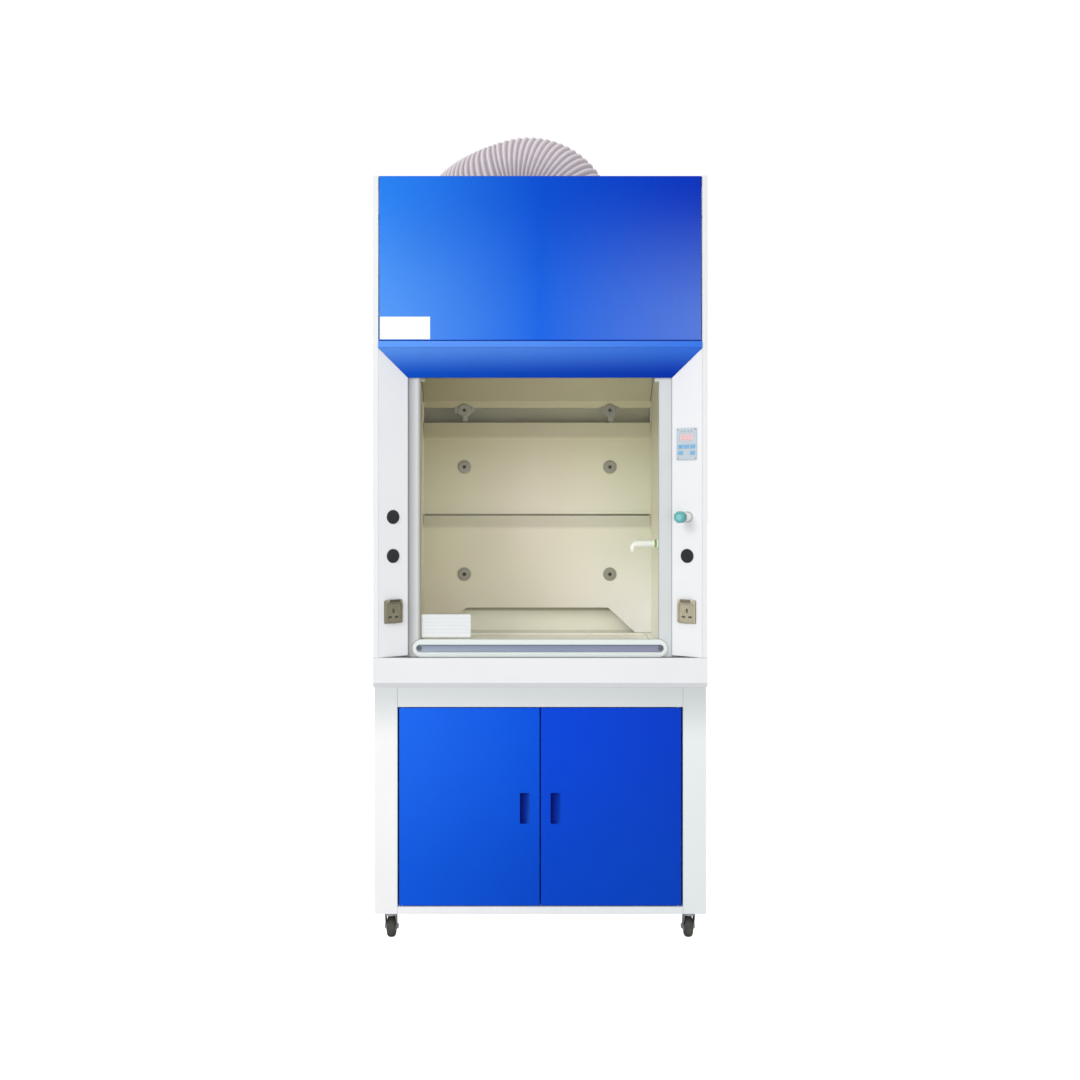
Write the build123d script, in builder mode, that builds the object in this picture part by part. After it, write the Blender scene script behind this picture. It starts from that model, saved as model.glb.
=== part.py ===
from build123d import *
import math
import os

# Walk-up ducted fume hood on a castered base cabinet.
# Millimetres. +Z up, X across the front, -Y is the front. Origin on the floor
# under the middle of the whole assembly. A "depth" is measured back from the canopy lip.

os.makedirs("parts", exist_ok=True)

CUT = Mode.SUBTRACT
SIDES = (-1, 1)                                # left, right
NAMED_SIDES = ((-1, "left"), (1, "right"))

# ================================================================ driving dimensions
# Casing
WIDTH = 1000            # over the side panels
DEPTH = 800             # canopy lip to rear panel
TOP = 2305              # top edge of the casing
FRONT = -DEPTH / 2      # y of the canopy lip
SIDE_T = 15.7           # folded side panel thickness
SHEET = 2               # folded sheet thickness
FRONT_HALF = 484        # half width between the side panels, for front and rear parts
SIDE_INNER_X = WIDTH / 2 - SIDE_T

# Base cabinet
CASTER_H = 95           # floor to underside of the base
BASE_TOP = 774
BASE_HALF = 497
BASE_FRONT = 12         # depths of the base's front and back faces
BASE_BACK = 790
BASE_FRAME_D = 25       # front frame, front to back
DOOR_OPEN_X = 428       # half width of the door opening
DOOR_Z0, DOOR_Z1 = 119, 712
DOOR_T = 18
DOOR_FRONT = BASE_FRONT + 2
PIVOT_X = DOOR_OPEN_X - 14
PIVOT_DEPTH = BASE_FRONT + 11
PULL_X, PULL_Z = 31, 410.5              # inner edge and middle height of the finger pull
PULL_W, PULL_H, PULL_D = 30, 93, 12

# Casters
WHEEL_R = 32.5
WHEEL_W = 26
TRAIL = 22              # axle behind the kingpin
CASTER_X = 453
CASTER_FRONT, CASTER_REAR = 62, 738
CASTERS = {             # x, depth of each kingpin
    "fl": (-CASTER_X, CASTER_FRONT),
    "fr": (CASTER_X, CASTER_FRONT),
    "rl": (-CASTER_X, CASTER_REAR),
    "rr": (CASTER_X, CASTER_REAR),
}

# Sill, bevelled surround and canopy lip
SILL_Z = 863            # top of the front sill
SILL_LOW = 789
LEDGE_Z = 853           # ledge the closed sash stands over
BEVEL = 82              # how far the bevelled surround runs inwards
BEVEL_D = 56            # and backwards
BEVEL_FRONT = 4         # depth at which the bevel starts
BEVEL_BACK = BEVEL_FRONT + BEVEL_D
TRIM_Z = 1789           # lower edge of the canopy lip
LIP_H = 21
COVER_Z0 = TRIM_Z + LIP_H + 3
MITRE_GAP = 0.4         # each part's clearance at the corner mitres
SLANT = math.atan2(BEVEL_D, BEVEL)
SLANT_SIN, SLANT_COS = math.sin(SLANT), math.cos(SLANT)

# Fittings on the bevelled columns
PLUG_Z = (1284, 1166.5)
PLUGS = ((-1, PLUG_Z[0]), (-1, PLUG_Z[1]), (1, PLUG_Z[1]))   # side, height
SOCKET_Z = 998.5
SOCKET_HINGE = {"z": SOCKET_Z + 33.5, "out": 10.5}           # axis of the flap hinge
PANEL_Z = 1504
VALVE_Z = 1284
VALVE_U = 4             # valve offset along the bevelled face
KEY_SIZE = (16, 11)
KEY_WELL = (16.4, 11.4)
KEY_TRAVEL = 1.0
WELL_FLOOR = 1          # height of the key wells' floor over the column face
KEYS = {"key_1": (-20, -8), "key_2": (0, -8), "key_3": (20, -8),
        "key_4": (-20, -27), "key_5": (20, -27)}

# Chamber
WORK_Z = 859            # worktop rim
CHAMBER_X = 409         # chamber half width
BOARD = 6               # liner and baffle board thickness
LINER_DEPTH = 740       # depth of the rear liner front face
CEILING_Z = 1870
ROOF = CEILING_Z + BOARD
OPENING_X = 150         # exhaust opening in the ceiling: half width and depths
OPENING_DEPTHS = (585, 705)
SINK_X, SINK_DEPTH = 322, 466           # cup sink, under the spout
SINK_PLACE = (SINK_X, FRONT + SINK_DEPTH)
BOWL_INSIDE = (140, 66)                 # sink slot, front to back and across
DRAIN_Z = 470                           # where the drain leaves through the base back
SPOUT_Z = 1187
SPOUT_DROP = 16                         # spout axis down to the end of its bend

# Baffles: lower, middle and upper boards
BAFFLE_DEPTH = 670      # depth of the front faces
BAFFLE_X = 406
LOW0, LOW1, LOW_LIP = WORK_Z + 1, 1231, 1279
MID0, MID1, MID_LIP = 1285, 1551, 1612
LIP_DEPTH = 657         # the folded top edges lean forward to this depth
UP0, UP_BEND = 1666, 1688
FIX_X = 261
FIX_Z = (1069, 1453.5, 1657)
FIX_HOLE_R = 6.2

# Sash and counterbalance
SASH_W = 388            # half width of the sash
SASH_Z0 = 857           # underside of the closed sash
SASH_Z1 = 1735          # top of the closed sash
SASH_FRONT = 70         # depth of the sash frame front face
GROOVE = (SASH_FRONT + 5, SASH_FRONT + 11)   # depths of the glass groove
GROOVE_X = 371.5        # half width of the glass groove
HANDLE_FRONT = 56
HANDLE_Z = SASH_Z0 + 27
LUG_Z = 1675            # underside of the cable lugs
CABLE_X = 375
PULLEY_R = 25           # radius at the cable centre
PULLEY_Z = 2250
PULLEY_FRONT = 121      # depths of the pulley axes
PULLEY_REAR = 745
WEIGHT_W, WEIGHT_D, WEIGHT_H = 44, 28, 520   # one counterweight
WEIGHT_TOP = 2170       # top of the counterweights with the sash closed

# Fan
AXIS_DEPTH, AXIS_Z = 497, 2028      # fan axis
FAN_X0, FAN_X1 = 60, 210            # scroll width along the axis
FAN_W = FAN_X1 - FAN_X0
FAN_WALL = 3
EYE_R = 70
SHAFT_R = 7
MOUTH_FRONT, MOUTH_BACK = 160, 42   # mouth walls ahead of the axis
MOUTH_Z = AXIS_Z + 125              # top of the scroll's mouth
MOUTH_PLACE = ((FAN_X0 + FAN_X1) / 2, FRONT + AXIS_DEPTH - (MOUTH_FRONT + MOUTH_BACK) / 2)
SPIGOT_Z = MOUTH_Z + 40             # where the mouth has become round

# Flexible duct
HOSE_R = 125                        # outer radius of the flexible duct
HOSE_WALL = 4
DUCT_R = 120.5                      # fan spigot and end cuff tube, outer radius
DUCT_WALL = 3
HOSE_X, HOSE_DEPTH, HOSE_Z = 135, 395, 2200   # start of the duct, over the fan spigot
HOSE_PLACE = (HOSE_X, FRONT + HOSE_DEPTH)
CUFF_L = 80
FREE = 40                           # plain length left for the building duct
HEADING, DIP = math.radians(15), math.radians(15)
BEND = 190                          # first bend: up, over and down by DIP
STRAIGHT = 15
BEND2 = 230                         # second bend: round to the back
CLAMP_W = 12


# ================================================================ helpers
def upright(depth):
    """Upright plane across the hood. Sketches are in x, z; extrusions come forwards."""
    return Plane.XZ.offset(-(FRONT + depth))


def section(x):
    """Plane square to X. Sketches are in y, z; extrusions go to +X."""
    return Plane.YZ.offset(x)


def level(z):
    """Horizontal plane. Sketches are in x, y; extrusions go up."""
    return Plane.XY.offset(z)


def face_plane(side, z, u=0.0, out=0.0):
    """Plane on a column's bevelled face. side is +1 right, -1 left; u runs along it to +X."""
    normal = (-side * SLANT_SIN, -SLANT_COS, 0)
    along = (SLANT_COS, -side * SLANT_SIN, 0)
    x = side * (FRONT_HALF - BEVEL / 2) + along[0] * u + normal[0] * out
    y = FRONT + BEVEL_FRONT + BEVEL_D / 2 + along[1] * u + normal[1] * out
    return Plane(origin=(x, y, z), x_dir=along, z_dir=normal)


def cross_plane(side, z, u, out):
    """Plane square to the bevelled face's own +X direction, for hinge barrels and pins."""
    face = face_plane(side, z, u=u, out=out)
    return Plane(origin=face.origin, x_dir=(0, 0, 1), z_dir=face.x_dir)


def strip(points, thickness):
    """Closed outline of a folded sheet: a face line plus the same line offset to its left."""
    normals = []
    for (x0, y0), (x1, y1) in zip(points, points[1:]):
        length = math.hypot(x1 - x0, y1 - y0)
        normals.append((-(y1 - y0) / length, (x1 - x0) / length))
    before = [normals[0]] + normals
    after = normals + [normals[-1]]
    back = []
    for (x, y), a, b in zip(points, before, after):
        scale = thickness / (1 + a[0] * b[0] + a[1] * b[1])
        back.append((x + scale * (a[0] + b[0]), y + scale * (a[1] + b[1])))
    return points + back[::-1]


def plan(side, points):
    """Plan outline in x, y from points in x, depth drawn for the right-hand side."""
    return [(side * x, FRONT + depth) for x, depth in points]


# The solid helpers below add to, or cut from, the part being built. Their sketches are
# handed on explicitly, since a sketch made in a function does not join the caller's part.
def block(xs, depths, zs, mode=Mode.ADD):
    """Box between two x, two depths and two heights; the x may come in either order."""
    x0, x1 = sorted(xs)
    centre = ((x0 + x1) / 2, FRONT + (depths[0] + depths[1]) / 2, (zs[0] + zs[1]) / 2)
    with Locations(centre):
        Box(x1 - x0, depths[1] - depths[0], zs[1] - zs[0], mode=mode)


def prism(plane, points, length, mode=Mode.ADD):
    with BuildSketch(plane) as outline:
        with BuildLine():
            Polyline(*points, close=True)
        make_face()
    extrude(outline.sketch, amount=length, mode=mode)


def profile(x, points, length, mode=Mode.ADD):
    """Prism along +X from an outline in depth, z."""
    prism(section(x), [(FRONT + depth, z) for depth, z in points], length, mode)


def plate(plane, size, thickness, place=(0, 0), corner=0, mode=Mode.ADD):
    with BuildSketch(plane) as outline:
        with Locations(place):
            if corner:
                RectangleRounded(*size, corner)
            else:
                Rectangle(*size)
    extrude(outline.sketch, amount=thickness, mode=mode)


def slot(plane, size, thickness, place, rotation=0, mode=Mode.ADD):
    with BuildSketch(plane) as outline:
        with Locations(place):
            SlotOverall(*size, rotation=rotation)
    extrude(outline.sketch, amount=thickness, mode=mode)


def ring(plane, outer, inner, length, place):
    with BuildSketch(plane) as outline:
        with Locations(place):
            Circle(outer)
            Circle(inner, mode=CUT)
    extrude(outline.sketch, amount=length)


def rod(plane, radius, length, place=(0, 0), mode=Mode.ADD):
    with BuildSketch(plane) as outline:
        with Locations(place):
            Circle(radius)
    extrude(outline.sketch, amount=length, mode=mode)


def rod_x(x, depth, z, radius, length, mode=Mode.ADD):
    rod(section(x), radius, length, (FRONT + depth, z), mode)


def rod_y(x, depth, z, radius, length, mode=Mode.ADD):
    """Rod running forwards from the given depth."""
    rod(upright(depth), radius, length, (x, z), mode)


def rod_z(x, depth, z, radius, length, mode=Mode.ADD):
    rod(level(z), radius, length, (x, FRONT + depth), mode)


def hexagon_x(x, depth, z, radius, length):
    """Hexagonal nut or bolt head along +X."""
    with BuildSketch(section(x)) as outline:
        with Locations((FRONT + depth, z)):
            RegularPolygon(radius, 6)
    extrude(outline.sketch, amount=length)


def cone(plane0, radius0, plane1, radius1, place=(0, 0)):
    with BuildSketch(plane0) as start:
        with Locations(place):
            Circle(radius0)
    with BuildSketch(plane1) as end:
        with Locations(place):
            Circle(radius1)
    loft([start.sketch.face(), end.sketch.face()])


def on_front(y):
    """Edge filter: keeps edges whose centre lies at the given y."""
    return lambda edge: abs(edge.center().Y - y) < 0.2


def save(builder, name):
    builder.part.label = name
    export_step(builder.part, f"parts/{name}.step")


# ================================================================ base cabinet
def base_carcass():
    """Two side skins, a back and a floor pan, each its own sheet."""
    front = BASE_FRONT + 26
    bottom = CASTER_H + 0.5
    inner_x = BASE_HALF - 2.5
    with BuildPart() as carcass:
        for side in SIDES:
            block((side * BASE_HALF, side * (BASE_HALF - 2)), (front, BASE_BACK),
                  (bottom, BASE_TOP))
        block((-inner_x, inner_x), (BASE_BACK - 2, BASE_BACK), (bottom, BASE_TOP))
        block((-inner_x, inner_x), (front, BASE_BACK - 2.5), (bottom, bottom + 2))
        # the drain leaves through the back
        rod_y(SINK_X, BASE_BACK + 1, DRAIN_Z, 19, 6, CUT)
    save(carcass, "base_carcass")


def base_front_frame():
    """Two soft-edged stiles, two rails and the four door hinge pins."""
    back = BASE_FRONT + BASE_FRAME_D
    rail_x = DOOR_OPEN_X - 0.4
    rail_front = BASE_FRONT + 0.3
    with BuildPart() as frame:
        for side in SIDES:
            block((side * DOOR_OPEN_X, side * BASE_HALF), (BASE_FRONT, back),
                  (CASTER_H, BASE_TOP))
        fillet(frame.edges().filter_by(Axis.Z), 2)
        block((-rail_x, rail_x), (rail_front, back), (DOOR_Z1 + 3, BASE_TOP))
        block((-rail_x, rail_x), (rail_front, back), (CASTER_H, DOOR_Z0 - 3))
        # pins stand in the rails and reach into the doors
        for side in SIDES:
            for z in (DOOR_Z0 - 12, DOOR_Z1 - 10):
                rod_z(side * PIVOT_X, PIVOT_DEPTH, z, 3, 22)
    save(frame, "base_front_frame")


def door(side, tag):
    """Folded steel tray with a pressed finger pull near the meeting edge."""
    x_in, x_out = 1.75, DOOR_OPEN_X - 5
    width, height = x_out - x_in, DOOR_Z1 - DOOR_Z0
    middle = (side * (x_in + x_out) / 2, (DOOR_Z0 + DOOR_Z1) / 2)
    back = upright(DOOR_FRONT + DOOR_T)
    pull = (side * (PULL_X + PULL_W / 2), PULL_Z)
    with BuildPart() as tray:
        plate(back, (width, height), DOOR_T, middle)
        fillet(tray.faces().sort_by(Axis.Y)[0].edges(), 2)
        # hollow from the back
        plate(back, (width - 2 * SHEET, height - 2 * SHEET), DOOR_T - SHEET, middle, mode=CUT)
        # pull cup: wall, then its tapering pocket
        plate(upright(DOOR_FRONT + PULL_D + 2), (PULL_W + 4, PULL_H + 4), PULL_D + 1,
              pull, corner=4)
        with BuildSketch(upright(DOOR_FRONT + PULL_D)):
            with Locations(pull):
                RectangleRounded(PULL_W - 3, PULL_H - 3, 2.5)
        with BuildSketch(upright(DOOR_FRONT - 0.1)):
            with Locations(pull):
                RectangleRounded(PULL_W, PULL_H, 2.5)
        loft(mode=CUT)
        # hinge bosses with pin holes at the bottom and top edges
        for z in (DOOR_Z0, DOOR_Z1 - 14):
            rod_z(side * PIVOT_X, PIVOT_DEPTH, z, 6, 14)
        for z in (DOOR_Z0 - 1, DOOR_Z1 - 12):
            rod_z(side * PIVOT_X, PIVOT_DEPTH, z, 3.05, 13, CUT)
    save(tray, f"door_{tag}")


# ---------------------------------------------------------------- casters
def caster_plates():
    """Top plates, each with its hanging swivel kingpin and four bolt heads."""
    with BuildPart() as plates:
        for x, depth in CASTERS.values():
            place = (x, FRONT + depth)
            plate(level(CASTER_H - 3.5), (56, 56), 3, place, corner=6)
            rod_z(x, depth, CASTER_H - 10, 15, 7)
            rod_z(x, depth, CASTER_H - 20, 5, 12)
            rod_z(x, depth, CASTER_H - 22, 7.5, 3)
            with BuildSketch(level(CASTER_H - 6)):
                with Locations(place):
                    with GridLocations(42, 42, 2, 2):
                        RegularPolygon(4, 6)
            extrude(amount=3)
    save(plates, "caster_plates")


def caster_fork(tag, x, depth):
    """Pressed crown around the kingpin, two cheeks, and the axle bolt through them."""
    y = FRONT + depth
    axle_depth = depth + TRAIL
    axle_y = y + TRAIL
    cheek = [  # y, z
        (y - 13, CASTER_H - 13), (y + 17, CASTER_H - 13), (axle_y + 9, WHEEL_R - 3),
        (axle_y + 5, WHEEL_R - 9), (axle_y - 5, WHEEL_R - 9), (axle_y - 9, WHEEL_R - 3),
        (y - 13, CASTER_H - 22),
    ]
    cheek_t = 2.5
    with BuildPart() as fork:
        with BuildSketch(level(CASTER_H - 18.5)):
            with Locations((x, y)):
                Circle(19)
            with Locations((x, y + 8)):
                Rectangle(36, 18)
        extrude(amount=8)
        fillet(fork.faces().sort_by(Axis.Z)[-1].edges(), 2)
        for side in SIDES:
            with BuildSketch(section(x + side * 16 - cheek_t / 2)):
                with BuildLine():
                    Polyline(*cheek, close=True)
                make_face()
                fillet(vertices(), 2)
            extrude(amount=cheek_t)
        # clearance for the kingpin and its head
        rod_z(x, depth, CASTER_H - 30, 5.1, 30, CUT)
        rod_z(x, depth, CASTER_H - 26, 9, 7, CUT)
        # axle bolt with its head and nut
        rod_x(x - 21, axle_depth, WHEEL_R, 4, 42)
        for end_x in (x + 17, x - 21):
            hexagon_x(end_x, axle_depth, WHEEL_R, 7, 4)
    save(fork, f"caster_fork_{tag}")


def caster_wheel(tag, x, depth):
    """Crowned tyre on a hub, revolved about X and then moved to its axle."""
    half = WHEEL_W / 2
    hub = half + 0.7
    hub_r, bore_r, shoulder_r, crown_r = 12, 4.05, 24, 29.8
    with BuildPart() as wheel:
        with BuildSketch(Plane.XZ):
            with BuildLine():
                Polyline(
                    (-half, hub_r), (-hub, hub_r), (-hub, bore_r), (hub, bore_r),
                    (hub, hub_r), (half, hub_r), (half, shoulder_r))
                Spline(
                    (half, shoulder_r), (half - 3.2, crown_r), (0, WHEEL_R),
                    (-half + 3.2, crown_r), (-half, shoulder_r))
                Line((-half, shoulder_r), (-half, hub_r))
            make_face()
        revolve(axis=Axis.X)
    wheel.part.label = f"caster_wheel_{tag}"
    placed = Pos(x, FRONT + depth + TRAIL, WHEEL_R) * wheel.part
    export_step(placed, f"parts/caster_wheel_{tag}.step")


# ================================================================ upper casing
def side_outline(inset):
    """Outline of a side panel in depth, z, the given distance inside its edge."""
    front, step = BEVEL_FRONT + inset, 16 + inset
    back = DEPTH - inset
    top, bottom, step_z = TOP - inset, BASE_TOP + 1 + inset, SILL_Z + 0.5 + inset
    return [
        (front, step_z), (front, top), (back, top), (back, bottom), (step, bottom),
        (step, step_z),
    ]


def side_panel(side, tag):
    """Folded tray, open towards the chamber."""
    with BuildPart() as panel:
        profile(min(side * WIDTH / 2, side * SIDE_INNER_X), side_outline(0), SIDE_T)
        outer = panel.faces().filter_by(Axis.X).sort_by(Axis.X)[-1 if side > 0 else 0]
        fillet(outer.edges(), 2.5)
        hollow_x = SIDE_INNER_X if side > 0 else -WIDTH / 2 + SHEET
        profile(hollow_x, side_outline(SHEET), SIDE_T - SHEET, CUT)
    save(panel, f"side_panel_{tag}")


def rear_panel():
    """Notched at the top so the flexible duct can leave over it."""
    half = FRONT_HALF - 0.5
    notch_z = 2225
    outline = [  # x, z
        (-half, BASE_TOP + 1), (half, BASE_TOP + 1), (half, TOP), (FRONT_HALF - 60, TOP),
        (FRONT_HALF - 110, notch_z), (-FRONT_HALF + 60, notch_z), (-FRONT_HALF + 30, TOP),
        (-half, TOP),
    ]
    with BuildPart() as panel:
        prism(upright(DEPTH), outline, SHEET)
        # access hatch on the outside
        plate(upright(DEPTH + 1.5), (620, 620), 2, (0, 1350), corner=12)
    save(panel, "rear_panel")


def front_cover():
    """Large tray above the sash, open at the back."""
    back, thickness = 24, 18
    width, height = 2 * (FRONT_HALF - 1.5), TOP - COVER_Z0
    middle = (0, (COVER_Z0 + TOP) / 2)
    with BuildPart() as cover:
        plate(upright(back), (width, height), thickness, middle)
        fillet(cover.faces().sort_by(Axis.Y)[0].edges(), 3)
        plate(upright(back), (width - 2 * SHEET, height - 2 * SHEET), thickness - SHEET,
              middle, mode=CUT)
    save(cover, "front_cover")


def canopy_trim():
    """Rounded lip, then a bevel falling back to the sash, mitred at both ends."""
    lip = [  # depth, z
        (28, TRIM_Z + LIP_H + 30), (28, TRIM_Z + LIP_H), (0, TRIM_Z + LIP_H),
        (0, TRIM_Z + 2.5), (BEVEL_FRONT, TRIM_Z), (BEVEL_BACK, TRIM_Z - BEVEL),
        (BEVEL_BACK + 6, TRIM_Z - BEVEL),
    ]
    with BuildPart() as trim:
        profile(-FRONT_HALF + 0.5, strip(lip, SHEET), 2 * FRONT_HALF - 1)
        fillet(trim.edges().filter_by(Axis.X).filter_by(on_front(FRONT)), 1.8)
        for side in SIDES:
            prism(upright(100), [
                (side * (FRONT_HALF + 5), TRIM_Z + 5 + MITRE_GAP),
                (side * (FRONT_HALF + 5), TRIM_Z - 120),
                (side * (FRONT_HALF - BEVEL - 38 - MITRE_GAP), TRIM_Z - 120),
            ], 220, CUT)
    save(trim, "canopy_trim")


def column(side, tag):
    """Bevelled post beside the sash, mitred under the trim, cut for its fittings."""
    fold = [  # x, depth
        (FRONT_HALF, 50), (FRONT_HALF, BEVEL_FRONT), (FRONT_HALF - BEVEL, BEVEL_BACK),
        (FRONT_HALF - BEVEL, BEVEL_BACK + 6),
    ]
    outer_x, inner_x = side * (FRONT_HALF + 5), side * (FRONT_HALF - BEVEL - 10)
    hole = -8           # the holes run this far in from the bevelled face
    with BuildPart() as post:
        prism(level(SILL_Z + 0.5), plan(side, strip(fold, -SHEET)), TRIM_Z - SILL_Z)
        prism(upright(100), [
            (outer_x, TRIM_Z + 5 - MITRE_GAP), (outer_x, TRIM_Z + 20), (inner_x, TRIM_Z + 20),
            (inner_x, TRIM_Z - BEVEL - 10 - MITRE_GAP),
        ], 220, CUT)
        for plug_side, z in PLUGS:
            if plug_side == side:
                rod(face_plane(side, z), 18.5, hole, mode=CUT)
        plate(face_plane(side, SOCKET_Z), (47, 57), hole, mode=CUT)
        if side > 0:
            rod(face_plane(side, VALVE_Z, u=VALVE_U), 12, hole, mode=CUT)
            plate(face_plane(side, PANEL_Z), (57, 87), hole, mode=CUT)
    save(post, f"column_{tag}")


def front_sill():
    """Folded panel with a sloping underside, closed at its ends."""
    fold = [  # depth, z
        (89, LEDGE_Z), (24, LEDGE_Z), (10, SILL_Z), (0, SILL_Z), (0, SILL_LOW),
        (12, BASE_TOP),
    ]
    end = [  # depth, z
        (0, SILL_LOW), (0, SILL_Z), (10, SILL_Z), (15.5, SILL_Z - 3.93), (15.5, BASE_TOP),
        (12, BASE_TOP),
    ]
    with BuildPart() as sill:
        profile(-WIDTH / 2, strip(fold, SHEET), WIDTH)
        for x in (-WIDTH / 2, WIDTH / 2 - SHEET):
            profile(x, end, SHEET)
        # the ledge stops short of the side panels
        for side in SIDES:
            block((side * (FRONT_HALF - 0.3), side * (WIDTH / 2 + 5)), (15.5, 95),
                  (LEDGE_Z - 10, SILL_Z + 5), CUT)
        fillet(sill.edges().filter_by(Axis.X).filter_by(on_front(FRONT)), 1.8)
    save(sill, "front_sill")


# ================================================================ chamber
def worktop():
    """Slab with a shallow dished area and a slot for the cup sink."""
    with BuildPart() as top:
        block((-FRONT_HALF + 1, FRONT_HALF - 1), (89.5, 752), (WORK_Z - 20, WORK_Z))
        plate(level(WORK_Z), (770, 540), -6, (0, FRONT + 385), corner=22, mode=CUT)
        slot(level(WORK_Z), (150, 76), -25, SINK_PLACE, rotation=90, mode=CUT)
    save(top, "worktop")


def cup_sink():
    """Flanged bowl with its tail and the drain pipe out through the base back."""
    pipe_top = (*SINK_PLACE, WORK_Z - 130)
    with BuildPart() as sink:
        with BuildSketch(level(WORK_Z - 6)):
            with Locations(SINK_PLACE):
                SlotOverall(164, 90, rotation=90)
                SlotOverall(*BOWL_INSIDE, rotation=90, mode=CUT)
        extrude(amount=2.5)
        slot(level(WORK_Z - 120), (148, 74), 114, SINK_PLACE, rotation=90)
        slot(level(WORK_Z - 117), BOWL_INSIDE, 122, SINK_PLACE, rotation=90, mode=CUT)
        rod_z(SINK_X, SINK_DEPTH, WORK_Z - 150, 16, 31)
        rod_z(SINK_X, SINK_DEPTH, WORK_Z - 151, 12.5, 40, CUT)
        # drain pipe from the tail down and out
        with BuildLine() as drain_path:
            FilletPolyline(
                pipe_top, (*SINK_PLACE, DRAIN_Z), (SINK_X, FRONT + 830, DRAIN_Z), radius=40)
        with BuildSketch(Plane(origin=pipe_top, z_dir=(0, 0, -1))):
            Circle(18.5)
            Circle(16.3, mode=CUT)
        sweep(path=drain_path.line)
        # collar against the base back
        ring(upright(BASE_BACK + 4), 23, 17, 3.5, (SINK_X, DRAIN_Z))
    save(sink, "cup_sink")


def chamber_liner():
    """Two side boards and a rear board."""
    heights = (WORK_Z + 0.5, CEILING_Z - 0.5)
    back = LINER_DEPTH + BOARD
    with BuildPart() as liner:
        for side in SIDES:
            block((side * CHAMBER_X, side * (CHAMBER_X + BOARD)), (93, back), heights)
        block((-CHAMBER_X + 0.2, CHAMBER_X - 0.2), (LINER_DEPTH, back), heights)
        # spout hole on the right
        rod_x(CHAMBER_X - 5, SINK_DEPTH, SPOUT_Z, 9, 20, CUT)
    save(liner, "chamber_liner")


def ceiling_panel():
    with BuildPart() as ceiling:
        block((-CHAMBER_X - BOARD, CHAMBER_X + BOARD), (110, LINER_DEPTH + BOARD),
              (CEILING_Z, ROOF))
        block((-OPENING_X, OPENING_X), OPENING_DEPTHS, (CEILING_Z - 1, ROOF + 1), CUT)
    save(ceiling, "ceiling_panel")


# ---------------------------------------------------------------- baffles
# Three boards standing off the rear liner, with slots between them.
def fixing_holes(z):
    for x in (-FIX_X, FIX_X):
        rod_y(x, BAFFLE_DEPTH + BOARD + 1, z, FIX_HOLE_R, BOARD + 2, CUT)


def baffle_lip(z0, z1):
    """Folded top edge of a baffle, leaning forward from its face."""
    profile(-BAFFLE_X, [  # depth, z
        (BAFFLE_DEPTH, z0 - 2), (BAFFLE_DEPTH, z0), (LIP_DEPTH, z1), (LIP_DEPTH + BOARD, z1),
        (BAFFLE_DEPTH + BOARD, z0), (BAFFLE_DEPTH + BOARD, z0 - 2),
    ], 2 * BAFFLE_X)


def baffle_lower():
    notch_z = 949
    outline = [  # x, z
        (-BAFFLE_X, LOW0), (-352, LOW0), (-255, notch_z), (255, notch_z), (352, LOW0),
        (BAFFLE_X, LOW0), (BAFFLE_X, LOW1), (-BAFFLE_X, LOW1),
    ]
    with BuildPart() as baffle:
        prism(upright(BAFFLE_DEPTH + BOARD), outline, BOARD)
        fixing_holes(FIX_Z[0])
        baffle_lip(LOW1, LOW_LIP)
    save(baffle, "baffle_lower")


def baffle_middle():
    with BuildPart() as baffle:
        block((-BAFFLE_X, BAFFLE_X), (BAFFLE_DEPTH, BAFFLE_DEPTH + BOARD), (MID0, MID1))
        fixing_holes(FIX_Z[1])
        baffle_lip(MID1, MID_LIP)
    save(baffle, "baffle_middle")


def baffle_upper():
    """Bent board leaning forward towards the ceiling."""
    face = [(BAFFLE_DEPTH, UP0), (BAFFLE_DEPTH, UP_BEND), (540, 1818)]   # depth, z
    with BuildPart() as baffle:
        profile(-BAFFLE_X, strip(face, -BOARD), 2 * BAFFLE_X)
    save(baffle, "baffle_upper")


def baffle_fixings():
    """Six fixing discs, each with its stand-off post to the rear liner."""
    disc_r = 24
    with BuildPart() as fixings:
        for x in (-FIX_X, FIX_X):
            for z in FIX_Z:
                cone(upright(BAFFLE_DEPTH - 7), 19, upright(BAFFLE_DEPTH - 3), disc_r, (x, z))
                rod_y(x, BAFFLE_DEPTH - 0.2, z, disc_r, 2.8)
                rod_y(x, LINER_DEPTH - 0.1, z, 6, LINER_DEPTH - BAFFLE_DEPTH + 2)
                rod_y(x, BAFFLE_DEPTH - 3, z, 4.5, 6, CUT)
    save(fixings, "baffle_fixings")


def lamp():
    """Sealed housing and its tube, under the chamber ceiling."""
    top, bottom = CEILING_Z - 0.5, CEILING_Z - 32
    with BuildPart() as fitting:
        with BuildSketch(section(-310)):
            with BuildLine():
                Polyline(
                    (FRONT + 190, top), (FRONT + 260, top),
                    (FRONT + 250, bottom), (FRONT + 200, bottom), close=True)
            make_face()
            fillet(vertices(), 4)
        extrude(amount=620)
        rod_x(-300, 225, CEILING_Z - 43, 13, 600)
    save(fitting, "lamp")


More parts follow.
